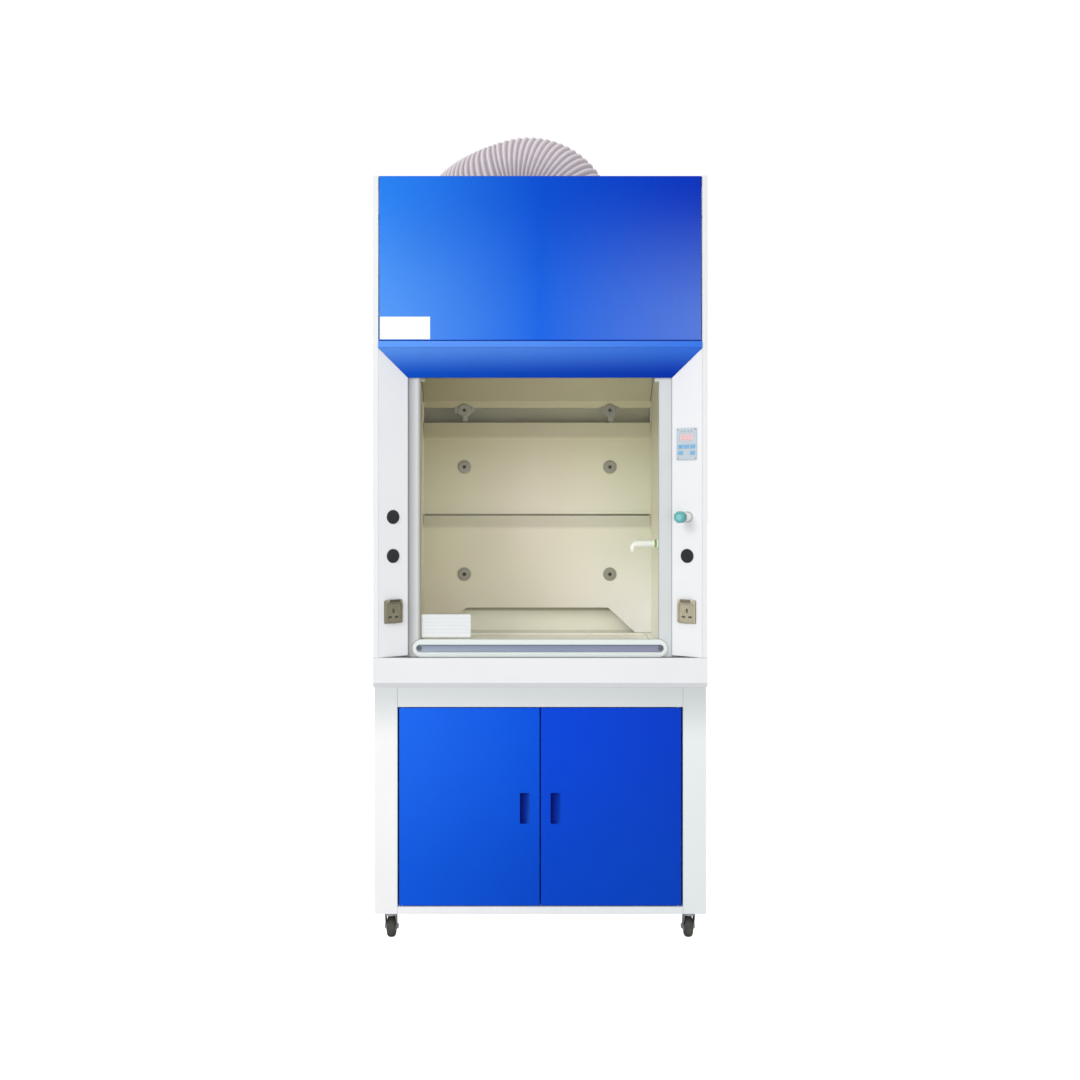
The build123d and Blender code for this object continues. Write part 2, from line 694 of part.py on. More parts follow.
# ================================================================ sash
def sash_frame():
    """Stiles with tongues, a top rail, glass clips and cable lugs."""
    front, back = SASH_FRONT, SASH_FRONT + 16
    stile_zs = (SASH_Z0 + 55, SASH_Z1)
    with BuildPart() as frame:
        for side in SIDES:
            block((side * 363, side * SASH_W), (front, back), stile_zs)
            # tongue running in the track
            block((side * (SASH_W - 1), side * 405), GROOVE, stile_zs)
        block((-SASH_W, SASH_W), (front, back), (SASH_Z1 - 24, SASH_Z1))
        # groove for the glass
        block((-GROOVE_X, GROOVE_X), GROOVE, (SASH_Z0 + 40, SASH_Z1 - 10), CUT)
        for side in SIDES:
            # glass clip at the upper corner
            block((side * 350, side * 364), (front - 2, front + 4.8), (1696, SASH_Z1 - 20))
            # cable lug behind the stile, bored for the cable
            block((side * (CABLE_X - 8), side * (CABLE_X + 8)), (front + 15.5, front + 33),
                  (LUG_Z, LUG_Z + 18))
            rod_z(side * CABLE_X, PULLEY_FRONT - PULLEY_R, LUG_Z - 2, 2.5, 22, CUT)
    save(frame, "sash_frame")


def sash_glass():
    with BuildPart() as glass:
        block((-371, 371), (SASH_FRONT + 5.5, SASH_FRONT + 10.5),
              (SASH_Z0 + 30, SASH_Z1 - 10.5))
    save(glass, "sash_glass")


def sash_handle():
    """Full-width rounded bar with a long finger groove, carrying the glass foot."""
    front = upright(HANDLE_FRONT)
    front_y = FRONT + HANDLE_FRONT
    middle = (0, HANDLE_Z)
    groove_d = 12
    with BuildPart() as handle:
        slot(front, (2 * SASH_W, 54), -30, middle)
        fillet(handle.faces().sort_by(Axis.Y)[0].edges(), 5)
        slot(front, (2 * 376, 23), -groove_d, middle, mode=CUT)
        fillet(handle.edges().filter_by(lambda edge: abs(edge.center().Y - front_y) < 0.1), 1.5)
        block((-GROOVE_X, GROOVE_X), GROOVE, (SASH_Z0 + 29.5, SASH_Z0 + 60), CUT)
        # strip set in the bottom of the groove
        slot(upright(HANDLE_FRONT + groove_d - 0.05), (2 * 375.7, 22), 3, middle)
    save(handle, "sash_handle")


def sash_tracks():
    """Channels the sash tongues run in."""
    channel = [(391, 67.5), (410, 67.5), (410, 91), (391, 91)]   # x, depth
    with BuildPart() as tracks:
        for side in SIDES:
            prism(level(WORK_Z + 0.5), plan(side, strip(channel, SHEET)), 2275 - WORK_Z)
    save(tracks, "sash_tracks")


# ---------------------------------------------------------------- counterbalance
def pulleys(name, depth):
    """A grooved pulley on each side, turning about X."""
    half, bore_r, rim_r, groove_r = 5, 4.06, 28.5, 23.6
    y = FRONT + depth
    with BuildPart() as pair:
        for side in SIDES:
            with BuildSketch(
                    Plane(origin=(side * CABLE_X, y, PULLEY_Z), x_dir=(1, 0, 0),
                          z_dir=(0, -1, 0))):
                with BuildLine():
                    Polyline(
                        (-half, bore_r), (half, bore_r), (half, rim_r), (2.6, rim_r),
                        (1.6, groove_r), (-1.6, groove_r), (-2.6, rim_r), (-half, rim_r),
                        close=True)
                make_face()
            revolve(axis=Axis((0, y, PULLEY_Z), (1, 0, 0)))
    save(pair, name)


def pulley_brackets():
    """An angle beside each pulley, reaching to the side panel, with its stub axle."""
    bottom = PULLEY_Z - 40
    inner_x = CABLE_X + 12
    with BuildPart() as brackets:
        for depth in (PULLEY_FRONT, PULLEY_REAR):
            depths = (depth - 20, depth + 20)
            for side in SIDES:
                block((side * inner_x, side * (inner_x + 3)), depths, (bottom, PULLEY_Z + 16))
                block((side * inner_x, side * (WIDTH / 2 - SHEET)), depths,
                      (bottom, bottom + 3))
                rod_x(side * (inner_x + 0.5), depth, PULLEY_Z, 4, -side * 22)
                rod_x(side * (CABLE_X - 5.5), depth, PULLEY_Z, 7, -side * 3)
    save(brackets, "pulley_brackets")


def sash_cables():
    """From each sash lug up over both pulleys and down to the counterweight."""
    y1, y2 = FRONT + PULLEY_FRONT, FRONT + PULLEY_REAR
    front_y, rear_y = y1 - PULLEY_R, y2 + PULLEY_R
    top, bottom = PULLEY_Z + PULLEY_R, LUG_Z - 4
    with BuildPart() as cables:
        for side in SIDES:
            with BuildLine(section(side * CABLE_X)) as run:
                Line((front_y, bottom), (front_y, PULLEY_Z))
                CenterArc((y1, PULLEY_Z), PULLEY_R, 180, -90)
                Line((y1, top), (y2, top))
                CenterArc((y2, PULLEY_Z), PULLEY_R, 90, -90)
                Line((rear_y, PULLEY_Z), (rear_y, WEIGHT_TOP - 30))
            with BuildSketch(level(bottom)):
                with Locations((side * CABLE_X, front_y)):
                    Circle(1.25)
            sweep(path=run.line)
    save(cables, "sash_cables")


def counterweights():
    cable_depth = PULLEY_REAR + PULLEY_R
    with BuildPart() as weights:
        for side in SIDES:
            x = side * CABLE_X
            plate(level(WEIGHT_TOP - WEIGHT_H), (WEIGHT_W, WEIGHT_D), WEIGHT_H,
                  (x, FRONT + cable_depth + 1.5), corner=4)
            rod_z(x, cable_depth, WEIGHT_TOP + 1, 3, -40, CUT)
    save(weights, "counterweights")


# ================================================================ fittings on the columns
def blanking_plugs():
    with BuildPart() as plugs:
        for side, z in PLUGS:
            cone(face_plane(side, z, out=0.1), 21.5, face_plane(side, z, out=3.5), 18.5)
            rod(face_plane(side, z, out=0.2), 18.2, -9)
    save(plugs, "blanking_plugs")


def valve_plane(out):
    return face_plane(1, VALVE_Z, u=VALVE_U, out=out)


def water_valve_body():
    """Rosette and bonnet outside, body inside, bored for the knob's stem."""
    with BuildPart() as body:
        rod(valve_plane(0.1), 18, 4)
        cone(valve_plane(4), 14, valve_plane(43), 12)
        rod(valve_plane(0.2), 11.6, -26)
        rod(valve_plane(44), 4.05, -22, mode=CUT)
    save(body, "water_valve_body")


def water_valve_knob():
    """Fluted knob on its stem. Returns the y of its foremost point."""
    outwards = Axis((439, FRONT + 32, VALVE_Z), (-SLANT_SIN, -SLANT_COS, 0))
    with BuildPart() as knob:
        with BuildSketch(valve_plane(45)):
            Circle(17.5)
            with PolarLocations(18.5, 8):
                Circle(2.4, mode=CUT)
        extrude(amount=19)
        fillet(knob.faces().sort_by(outwards)[-1].edges(), 1.5)
        rod(valve_plane(26), 4, 22)
    save(knob, "water_valve_knob")
    return knob.part.bounding_box().min.Y


def water_spout():
    """Spout on the chamber's right wall, over the sink, with a locknut behind the liner."""
    wall = (CHAMBER_X - 4, FRONT + SINK_DEPTH, SPOUT_Z)
    along = (FRONT + SINK_DEPTH, SPOUT_Z)   # the spout's axis in y, z
    outlet_z = SPOUT_Z - SPOUT_DROP
    with BuildPart() as spout:
        with BuildLine() as spout_path:
            FilletPolyline(wall, (*SINK_PLACE, SPOUT_Z), (*SINK_PLACE, outlet_z), radius=13)
        with BuildSketch(Plane(origin=wall, z_dir=(-1, 0, 0))):
            Circle(8)
        sweep(path=spout_path.line)
        # tapered rings along the horizontal run
        for i in range(4):
            x = 343 + 11 * i
            cone(section(x), 8.2 + 0.2 * i, section(x + 8.5), 10.4 + 0.2 * i, along)
        # flange, collar, threaded tail and locknut
        rod_x(CHAMBER_X - 0.3, SINK_DEPTH, SPOUT_Z, 16, -5)
        rod_x(CHAMBER_X - 5, SINK_DEPTH, SPOUT_Z, 11, -12)
        rod_x(CHAMBER_X - 3, SINK_DEPTH, SPOUT_Z, 8.8, 32)
        hexagon_x(CHAMBER_X + BOARD + 0.2, SINK_DEPTH, SPOUT_Z, 14, 7)
        # stepped outlet, narrowing downwards
        for i, radius in enumerate((9.2, 8.4, 7.6)):
            cone(level(outlet_z - 4 * (i + 1)), radius - 1.6, level(outlet_z - 4 * i), radius,
                 SINK_PLACE)
    save(spout, "water_spout")


def power_sockets():
    """Module with a back box, socket slots and the ears and pin of the flap hinge."""
    with BuildPart() as sockets:
        for side in SIDES:
            plate(face_plane(side, SOCKET_Z, out=0.1), (57, 67), 6, corner=3)
            plate(face_plane(side, SOCKET_Z, out=0.2), (45, 55), -30)
            recess = face_plane(side, SOCKET_Z - 3, out=2.1)
            plate(recess, (49, 55), 5, corner=2, mode=CUT)
            plate(recess, (3.4, 11), -14, (0, 6), mode=CUT)
            for u in (-11, 11):
                plate(recess, (9, 3.4), -14, (u, -13), mode=CUT)
            # hinge ears along the top edge, with their pin
            for u in (-21, 21):
                rod(cross_plane(side, u=u - 3.5, **SOCKET_HINGE), 4, 7)
                plate(face_plane(side, SOCKET_Z + 31, u=u, out=0.5), (7, 6), 8)
            rod(cross_plane(side, u=-24, **SOCKET_HINGE), 1.5, 48)
    save(sockets, "power_sockets")


def socket_cover(side, tag):
    """Flap hinged along its top, with a finger tab at the bottom."""
    barrel_l = 33.6
    flap_z = SOCKET_Z - 3.5
    with BuildPart() as flap:
        plate(face_plane(side, flap_z, out=7), (55, 58), 5, corner=3)
        plate(face_plane(side, flap_z, out=6), (51, 54), 4, corner=2, mode=CUT)
        rod(cross_plane(side, u=-barrel_l / 2, **SOCKET_HINGE), 3.6, barrel_l)
        plate(face_plane(side, SOCKET_Z + 28, out=9), (barrel_l, 9), 2.8)
        rod(cross_plane(side, u=-30, **SOCKET_HINGE), 1.56, 60, mode=CUT)
        plate(face_plane(side, SOCKET_Z - 32.8, out=9), (16, 5), 3)
    save(flap, f"socket_cover_{tag}")


def control_panel():
    """Bezel with a display window and five key wells, and the module behind it."""
    with BuildPart() as panel:
        plate(face_plane(1, PANEL_Z, out=0.1), (66, 96), 4, corner=3)
        plate(face_plane(1, PANEL_Z, out=0.2), (55, 85), -24)
        plate(face_plane(1, PANEL_Z, out=3.2), (46, 22), 3, (0, 20), corner=1.5, mode=CUT)
        for place in KEYS.values():
            plate(face_plane(1, PANEL_Z, out=WELL_FLOOR), KEY_WELL, 5, place, mode=CUT)
    save(panel, "control_panel")


def panel_key(name, place):
    with BuildPart() as key:
        plate(face_plane(1, PANEL_Z, out=WELL_FLOOR + KEY_TRAVEL + 0.2), KEY_SIZE, 3.4,
              place, corner=1.5)
    save(key, name)


# ================================================================ services above the chamber
def scroll_outline(extra):
    """Volute in depth, z with a straight mouth at its front, grown outwards by extra."""
    points = [(AXIS_DEPTH - MOUTH_BACK + extra, MOUTH_Z)]
    for i in range(30):
        # from the cut-off over the back, underneath, up to the front
        angle = math.radians(112 - i * 10 * 292 / 290)
        radius = MOUTH_FRONT - 48 * (1 - i / 29) + extra
        points.append((AXIS_DEPTH + radius * math.cos(angle), AXIS_Z + radius * math.sin(angle)))
    return points + [(AXIS_DEPTH - MOUTH_FRONT - extra, MOUTH_Z)]


def mouth_size(inset):
    return (FAN_W - 2 * inset, MOUTH_FRONT - MOUTH_BACK - 2 * inset)


def gather(z, inset, mode=Mode.ADD):
    """Loft from the square mouth at height z out to the round spigot."""
    with BuildSketch(level(z)) as square:
        with Locations(MOUTH_PLACE):
            Rectangle(*mouth_size(inset))
    with BuildSketch(level(SPIGOT_Z)) as circle:
        with Locations(HOSE_PLACE):
            Circle(DUCT_R - inset)
    loft([square.sketch.face(), circle.sketch.face()], mode=mode)


def fan_casing():
    """Scroll with a spigot gathered from its square mouth to the round duct."""
    with BuildPart() as casing:
        profile(FAN_X0, scroll_outline(0), FAN_W)
        gather(MOUTH_Z - 1, 0)
        rod_z(HOSE_X, HOSE_DEPTH, SPIGOT_Z, DUCT_R, HOSE_Z + 37 - SPIGOT_Z)
        # hollow it
        profile(FAN_X0 + FAN_WALL, scroll_outline(-FAN_WALL), FAN_W - 2 * FAN_WALL, CUT)
        plate(level(MOUTH_Z - 10), mouth_size(FAN_WALL), 11, MOUTH_PLACE, mode=CUT)
        gather(MOUTH_Z, FAN_WALL, CUT)
        rod_z(HOSE_X, HOSE_DEPTH, SPIGOT_Z - 0.5, DUCT_R - FAN_WALL, 60, CUT)
        # inlet eye on the left, shaft hole on the right
        rod_x(FAN_X0 - 1, AXIS_DEPTH, AXIS_Z, EYE_R, 6, CUT)
        rod_x(FAN_X1 - 5, AXIS_DEPTH, AXIS_Z, 14, 10, CUT)
    save(casing, "fan_casing")


def fan_impeller():
    """Back plate, hub, shroud ring and blades, bored for the shaft."""
    axis = (FRONT + AXIS_DEPTH, AXIS_Z)
    wheel_r = 98
    with BuildPart() as impeller:
        rod(section(FAN_X1 - 22), wheel_r, 3, axis)
        rod(section(FAN_X1 - 60), 22, 40, axis)
        ring(section(FAN_X0 + 14), wheel_r, 76, 3, axis)
        with BuildSketch(section(FAN_X0 + 16)):
            with Locations(axis):
                with PolarLocations(86, 18):
                    Rectangle(20, 2.4, rotation=35)
        extrude(amount=FAN_W - 37)
        rod(section(FAN_X1 - 62), SHAFT_R + 0.05, 60, axis, CUT)
    save(impeller, "fan_impeller")


def fan_motor():
    """Motor with its shaft, pedestal and foot plate."""
    with BuildPart() as motor:
        rod_x(FAN_X1 + 1, AXIS_DEPTH, AXIS_Z, 66, 118)
        fillet(motor.edges().filter_by(GeomType.CIRCLE), 5)
        rod_x(FAN_X1 - 58, AXIS_DEPTH, AXIS_Z, SHAFT_R, 62)
        block((FAN_X1 + 24, FAN_X1 + 100), (AXIS_DEPTH - 50, AXIS_DEPTH + 50),
              (ROOF + 0.5, AXIS_Z - 55))
        block((FAN_X1 + 12, FAN_X1 + 112), (AXIS_DEPTH - 70, AXIS_DEPTH + 70),
              (ROOF + 0.5, ROOF + 5))
    save(motor, "fan_motor")


def exhaust_plenum():
    """Box that gathers air from the ceiling opening into the fan eye."""
    right, bottom = FAN_X0 - 0.5, ROOF + 0.3
    with BuildPart() as plenum:
        block((-165, right), (392, 722), (bottom, 2140))
        block((-163, right - 2), (394, 720), (ROOF - 5, 2138), CUT)
        block((-180, right), (377, 737), (bottom, bottom + 2))
        block((-OPENING_X, FAN_X0 - 4), OPENING_DEPTHS, (ROOF - 5, ROOF + 5), CUT)
        rod_x(FAN_X0 - 10, AXIS_DEPTH, AXIS_Z, EYE_R, 20, CUT)
    save(plenum, "exhaust_plenum")


def electrical_box():
    """Box for the lamp, fan and sockets, with an overhanging lid."""
    with BuildPart() as box:
        block((-385, -215), (250, 430), (ROOF + 0.5, ROOF + 90))
        fillet(box.edges().filter_by(Axis.Z), 6)
        block((-388, -212), (247, 433), (ROOF + 90, ROOF + 98))
    save(box, "electrical_box")


# ---------------------------------------------------------------- flexible duct
# Centre line: up, over towards the left, a short straight, then round to run out at the back.
hose_start = (*HOSE_PLACE, HOSE_Z)
rise_end = (*HOSE_PLACE, HOSE_Z + 42)
ahead = (-math.cos(HEADING), math.sin(HEADING))


def first_bend(angle):
    """Point on the first bend after turning by angle from straight up."""
    reach = BEND * (1 - math.cos(angle))
    return (rise_end[0] + reach * ahead[0], rise_end[1] + reach * ahead[1],
            rise_end[2] + BEND * math.sin(angle))


FIRST_TURN = math.pi / 2 + DIP
crest_end = first_bend(FIRST_TURN)
run_dir = (ahead[0] * math.cos(DIP), ahead[1] * math.cos(DIP), -math.sin(DIP))
# unit vector square to the run, in the plane of the run and +Y
inward = [((1 if i == 1 else 0) - run_dir[1] * run_dir[i]) / math.sqrt(1 - run_dir[1] ** 2)
          for i in range(3)]
SECOND_TURN = math.acos(run_dir[1])


def second_bend(angle):
    """Point on the second bend after turning by angle from the run towards +Y."""
    return tuple(
        crest_end[i] + STRAIGHT * run_dir[i]
        + BEND2 * (inward[i] * (1 - math.cos(angle)) + math.sin(angle) * run_dir[i])
        for i in range(3))


tail = second_bend(SECOND_TURN)
tail_x, tail_z = tail[0], tail[2]


def exhaust_hose(end_y):
    with BuildPart() as hose:
        with BuildLine() as hose_path:
            Line(hose_start, rise_end)
            ThreePointArc(rise_end, first_bend(FIRST_TURN / 2), crest_end)
            Line(crest_end, second_bend(0))
            ThreePointArc(second_bend(0), second_bend(SECOND_TURN / 2), tail)
            Line(tail, (tail_x, end_y - FREE - 4, tail_z))
        with BuildSketch(Plane(origin=hose_start, z_dir=(0, 0, 1))):
            Circle(HOSE_R)
            Circle(HOSE_R - HOSE_WALL, mode=CUT)
        sweep(path=hose_path.line)
    save(hose, "exhaust_hose")


def hose_clamps(end_y):
    """Worm-drive clamps: one at the fan, one at the free end."""
    outer, inner = HOSE_R + 2.2, HOSE_R + 0.2
    with BuildPart() as clamps:
        ring(level(HOSE_Z + 8), outer, inner, CLAMP_W, HOSE_PLACE)
        with Locations((HOSE_X, FRONT + HOSE_DEPTH - HOSE_R - 7, HOSE_Z + 14)):
            Box(26, 12, 13)
        ring(Plane.XZ.offset(-(end_y - FREE - 14)), outer, inner, CLAMP_W, (tail_x, tail_z))
        with Locations((tail_x, end_y - FREE - 20, tail_z + HOSE_R + 7)):
            Box(26, 13, 12)
    save(clamps, "hose_clamps")


def duct_cuff(end_y):
    """Plain spigot for the building duct."""
    place = (tail_x, tail_z)
    with BuildPart() as cuff:
        ring(Plane.XZ.offset(-end_y), DUCT_R, DUCT_R - DUCT_WALL, CUFF_L, place)
        # stop bead between the flexible duct and the free end
        ring(Plane.XZ.offset(-(end_y - FREE)), HOSE_R, DUCT_R - 1, 3.5, place)
    save(cuff, "duct_cuff")


# ================================================================ build everything
base_carcass()
base_front_frame()
caster_plates()
for tag, (x, depth) in CASTERS.items():
    caster_fork(tag, x, depth)
    caster_wheel(tag, x, depth)

for side, tag in NAMED_SIDES:
    door(side, tag)
    side_panel(side, tag)
    column(side, tag)
    socket_cover(side, tag)
rear_panel()
front_cover()
canopy_trim()
front_sill()

worktop()
cup_sink()
chamber_liner()
ceiling_panel()
baffle_lower()
baffle_middle()
baffle_upper()
baffle_fixings()
lamp()

sash_frame()
sash_glass()
sash_handle()
sash_tracks()
pulleys("front_pulleys", PULLEY_FRONT)
pulleys("rear_pulleys", PULLEY_REAR)
pulley_brackets()
sash_cables()
counterweights()

blanking_plugs()
water_valve_body()
knob_front = water_valve_knob()
water_spout()
power_sockets()
control_panel()
for name, place in KEYS.items():
    panel_key(name, place)

fan_casing()
fan_impeller()
fan_motor()
exhaust_plenum()
electrical_box()

# the cuff's end balances the knob's reach at the front
duct_end_y = -knob_front
exhaust_hose(duct_end_y)
hose_clamps(duct_end_y)
duct_cuff(duct_end_y)
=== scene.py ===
"""Fume cupboard with a counterweighted sash, on a two-door base with four casters.

Metres, Z up, floor at z = 0. The cupboard is centred on x = 0 and its front faces -Y, with the
front plane at y = FRONT. Left and right are as seen from the front: left is -X.
"""
import bpy
import bmesh
import math
from mathutils import Vector, Matrix


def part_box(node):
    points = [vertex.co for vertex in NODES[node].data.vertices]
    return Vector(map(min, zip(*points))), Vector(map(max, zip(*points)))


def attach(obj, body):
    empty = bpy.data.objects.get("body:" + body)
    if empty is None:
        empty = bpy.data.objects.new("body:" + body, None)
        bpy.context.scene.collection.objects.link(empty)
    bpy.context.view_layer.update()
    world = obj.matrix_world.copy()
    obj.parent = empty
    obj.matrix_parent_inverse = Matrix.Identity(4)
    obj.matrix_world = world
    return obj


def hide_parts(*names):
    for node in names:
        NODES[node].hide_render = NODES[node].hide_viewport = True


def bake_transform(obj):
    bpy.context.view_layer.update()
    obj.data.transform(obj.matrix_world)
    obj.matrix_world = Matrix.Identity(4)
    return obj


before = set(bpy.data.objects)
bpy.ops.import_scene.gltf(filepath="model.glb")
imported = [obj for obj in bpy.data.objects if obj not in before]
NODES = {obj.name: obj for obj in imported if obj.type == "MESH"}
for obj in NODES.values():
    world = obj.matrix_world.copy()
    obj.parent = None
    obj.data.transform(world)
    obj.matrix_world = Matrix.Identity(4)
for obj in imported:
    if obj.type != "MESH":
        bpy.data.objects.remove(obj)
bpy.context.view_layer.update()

# ------------------------------------------------------------------ driving dimensions
FRONT = -0.4                # y of the front plane
SIDES = ((-1, "left"), (1, "right"))
FORWARD = (0, -1, 0)
BACKWARD = (0, 1, 0)
UP = (0, 0, 1)

# the bevelled column faces turn inward, 56 deep for 82 across
BEVEL = math.atan2(56, 82)
BEVEL_SIN = math.sin(BEVEL)
BEVEL_COS = math.cos(BEVEL)
FACE_X = 0.443              # middle of the bevelled face
FACE_Y = FRONT + 0.032

HANDLE_Z = 0.884            # centre line of the sash handle
STRIP_FRONT = 0.0663        # front and back of the thin stile strips, behind FRONT
STRIP_BACK = 0.0672
VALVE_Z = 1.284             # upper and lower rows of column fittings
PLUG_Z = 1.1665
VALVE_U = 0.004             # valve axis, along the bevelled face
SPOUT_Y = FRONT + 0.466
SPOUT_Z = 1.187
SOCKET_Z = 0.9985
PANEL_Z = 1.504             # control panel centre
DISPLAY_Z = 1.524
ROOF_Z = 1.8765             # deck that carries the services
MOTOR_Y = FRONT + 0.497
MOTOR_Z = 2.028


def srgb(red, green, blue):
    """Linear colour from 0-255 sRGB."""
    out = []
    for value in (red, green, blue):
        value /= 255.0
        out.append(value / 12.92 if value <= 0.04045 else ((value + 0.055) / 1.055) ** 2.4)
    return out


# ------------------------------------------------------------------ shader helpers
MATERIALS = {}


def new_material(name):
    material = bpy.data.materials.new(name)
    material.use_nodes = True
    MATERIALS[name] = material
    return material, material.node_tree


def connect(tree, node, inputs):
    """Link each input to a socket, or set it to a plain value."""
    for key, value in inputs.items():
        if isinstance(value, bpy.types.NodeSocket):
            tree.links.new(value, node.inputs[key])
        else:
            node.inputs[key].default_value = value


def add(tree, kind, inputs=None, **settings):
    node = tree.nodes.new("ShaderNode" + kind)
    for key, value in settings.items():
        setattr(node, key, value)
    connect(tree, node, inputs or {})
    return node


def principled(tree):
    return tree.nodes["Principled BSDF"]


def coords(tree):
    return add(tree, "TexCoord").outputs["Object"]


def rgba(color):
    return (color[0], color[1], color[2], 1)


def ramp(tree, factor, stops):
    node = add(tree, "ValToRGB", {"Fac": factor})
    color_ramp = node.color_ramp
    color_ramp.interpolation = "LINEAR"
    while len(color_ramp.elements) < len(stops):
        color_ramp.elements.new(0.5)
    for element, (position, color) in zip(color_ramp.elements, stops):
        element.position = position
        element.color = rgba(color)
    return node.outputs["Color"]


def map_axis(tree, vector, axis, start, end):
    """0 to 1 as the coordinate runs from start to end."""
    split = add(tree, "SeparateXYZ", {0: vector})
    inputs = {"From Min": start, "From Max": end, "Value": split.outputs[axis]}
    return add(tree, "MapRange", inputs).outputs["Result"]


def mix(tree, factor, first, second):
    # inputs 6 and 7 are the colour pair
    inputs = {0: factor}
    for key, value in ((6, first), (7, second)):
        inputs[key] = rgba(value) if isinstance(value, (list, tuple)) else value
    return add(tree, "Mix", inputs, data_type="RGBA", blend_type="MIX").outputs[2]


def math_node(tree, operation, first, second):
    return add(tree, "Math", {0: first, 1: second}, operation=operation).outputs[0]


def noise(tree, vector, scale, detail):
    inputs = {"Scale": scale, "Detail": detail, "Roughness": 0.55, "Vector": vector}
    return add(tree, "TexNoise", inputs).outputs["Fac"]


def grid_color(tree, vector, grid, gain, sub):
    """Blend of colour rows over the XZ plane, painting light and shade across a surface.

    grid is (left, right), (top, bottom), rows from the top down. A row lists sRGB stops from
    left to right, evenly spaced unless a stop has its own position as a fourth value.
    """
    (left, right), (top, bottom), rows = grid
    across = map_axis(tree, vector, "X", left, right)
    down = map_axis(tree, vector, "Z", top, bottom)
    colors = []
    for row in rows:
        stops = []
        for i, stop in enumerate(row):
            position = stop[3] if len(stop) > 3 else i / (len(row) - 1)
            stops.append((position, [max(0.0006, v * gain - sub) for v in srgb(*stop[:3])]))
        colors.append(ramp(tree, across, stops))
    base = colors[0]
    steps = len(colors) - 1
    for i in range(steps):
        inputs = {"From Min": i / steps, "From Max": (i + 1) / steps, "Value": down}
        blend = add(tree, "MapRange", inputs, interpolation_type="SMOOTHSTEP")
        base = mix(tree, blend.outputs["Result"], base, colors[i + 1])
    return base


def surface(name, color=None, grid=None, gain=1.0, sub=0.0, rough=0.45, metal=0.0, spec=0.3,
            coat=0.0, mottle=0.03, mottle_scale=6.0, grain=700.0, grain_depth=0.00004,
            edge=0.0006, stretch=None):
    """Painted, moulded or metal finish, from one linear color or a grid of colours.

    gain, sub: multiply the grid colours, then take this much off
    mottle, mottle_scale: strength and noise scale of the slow darkening
    grain, grain_depth: noise scale and height in metres of the fine bump
    edge: radius that softens the edges, 0 for none
    stretch: scale of the grain along x, y, z
    """
    tree = new_material(name)[1]
    vector = coords(tree)
    base = grid_color(tree, vector, grid, gain, sub) if grid else color
    spots = noise(tree, vector, mottle_scale, 4.0)
    darken = add(tree, "MapRange", {"From Min": 0.35, "From Max": 0.75, "To Max": mottle,
                                    "Value": spots})
    gloss = add(tree, "MapRange", {"To Min": max(0.0, rough - 0.06),
                                   "To Max": min(1.0, rough + 0.06), "Value": spots})
    grain_vector = vector
    if stretch:
        scaled = add(tree, "Mapping", {"Scale": stretch, "Vector": vector})
        grain_vector = scaled.outputs["Vector"]
    bump = add(tree, "Bump", {"Strength": 1.0, "Distance": grain_depth,
                              "Height": noise(tree, grain_vector, grain, 2.0)})
    if edge:
        bevel = add(tree, "Bevel", {"Radius": edge}, samples=4)
        connect(tree, bump, {"Normal": bevel.outputs["Normal"]})
    connect(tree, principled(tree), {
        "Base Color": mix(tree, darken.outputs["Result"], base, (0, 0, 0)),
        "Roughness": gloss.outputs["Result"],
        "Normal": bump.outputs["Normal"],
        "Metallic": metal,
        "Specular IOR Level": spec,
        "Coat Weight": coat,
        "Coat Roughness": 0.12,
    })


def clear_glass(name, tint, gloss, cover=0.0, cover_color=None):
    """Clear sheet with a streaky fresnel reflection and, if asked, a thin share of solid colour."""
    tree = new_material(name)[1]
    tree.nodes.clear()
    through = add(tree, "BsdfTransparent", {"Color": rgba(tint)})
    glossy = add(tree, "BsdfGlossy", {"Roughness": gloss, "Color": (1, 1, 1, 1)})
    fresnel = add(tree, "Fresnel", {"IOR": 1.45})
    streaks = noise(tree, coords(tree), 9.0, 5.0)
    share = math_node(tree, "MULTIPLY", fresnel.outputs[0], streaks)
    last = add(tree, "MixShader", {0: share, 1: through.outputs[0], 2: glossy.outputs[0]})
    if cover:
        solid = add(tree, "BsdfPrincipled", {"Base Color": rgba(cover_color), "Roughness": 0.3})
        last = add(tree, "MixShader", {0: cover, 1: last.outputs[0], 2: solid.outputs[0]})
    add(tree, "OutputMaterial", {0: last.outputs[0]})


# ------------------------------------------------------------------ colour grids
# sRGB, rows from the top down, each from left to right; each grid paints light and shade into a
# finish
# cover: painted reflection, lighter on the left, a painted highlight low on the right, painted
# shade at the top right
COVER_SHADING_ROWS = [[(45, 130, 240), (15, 80, 210), (20, 55, 190)],
              [(90, 155, 245), (35, 105, 230), (90, 125, 220)]]
# doors: painted light and shade, the left door lighter than the right, both darker towards the
# right and the bottom
DOOR_LEFT_SHADING_ROWS = [[(35, 105, 235), (10, 85, 220)],
                  [(25, 90, 220), (10, 75, 200)]]
DOOR_RIGHT_SHADING_ROWS = [[(10, 75, 215), (5, 65, 195)],
                   [(10, 75, 200), (5, 70, 185)]]
# canopy trim: painted light along the top lip, painted shade down the bevel below it and towards
# the right
TRIM_SHADING_ROWS = [[(95, 150, 235), (60, 115, 220)],
             [(20, 80, 195), (0, 50, 165)]]
# baffle boards: painted shade, darker to the top left, and painted light to the lower right
BOARD_SHADING_ROWS = [[(165, 155, 120), (185, 175, 145), (200, 195, 160)],
              [(190, 185, 160), (205, 195, 180), (205, 205, 185)],
              [(210, 200, 185), (205, 200, 185), (240, 235, 235)]]
# handle groove: painted shade, darker along its top and towards the right
GROOVE_SHADING_ROWS = [[(140, 150, 170), (130, 140, 165), (130, 135, 160)],
               [(170, 180, 195), (150, 160, 185), (150, 150, 175)]]
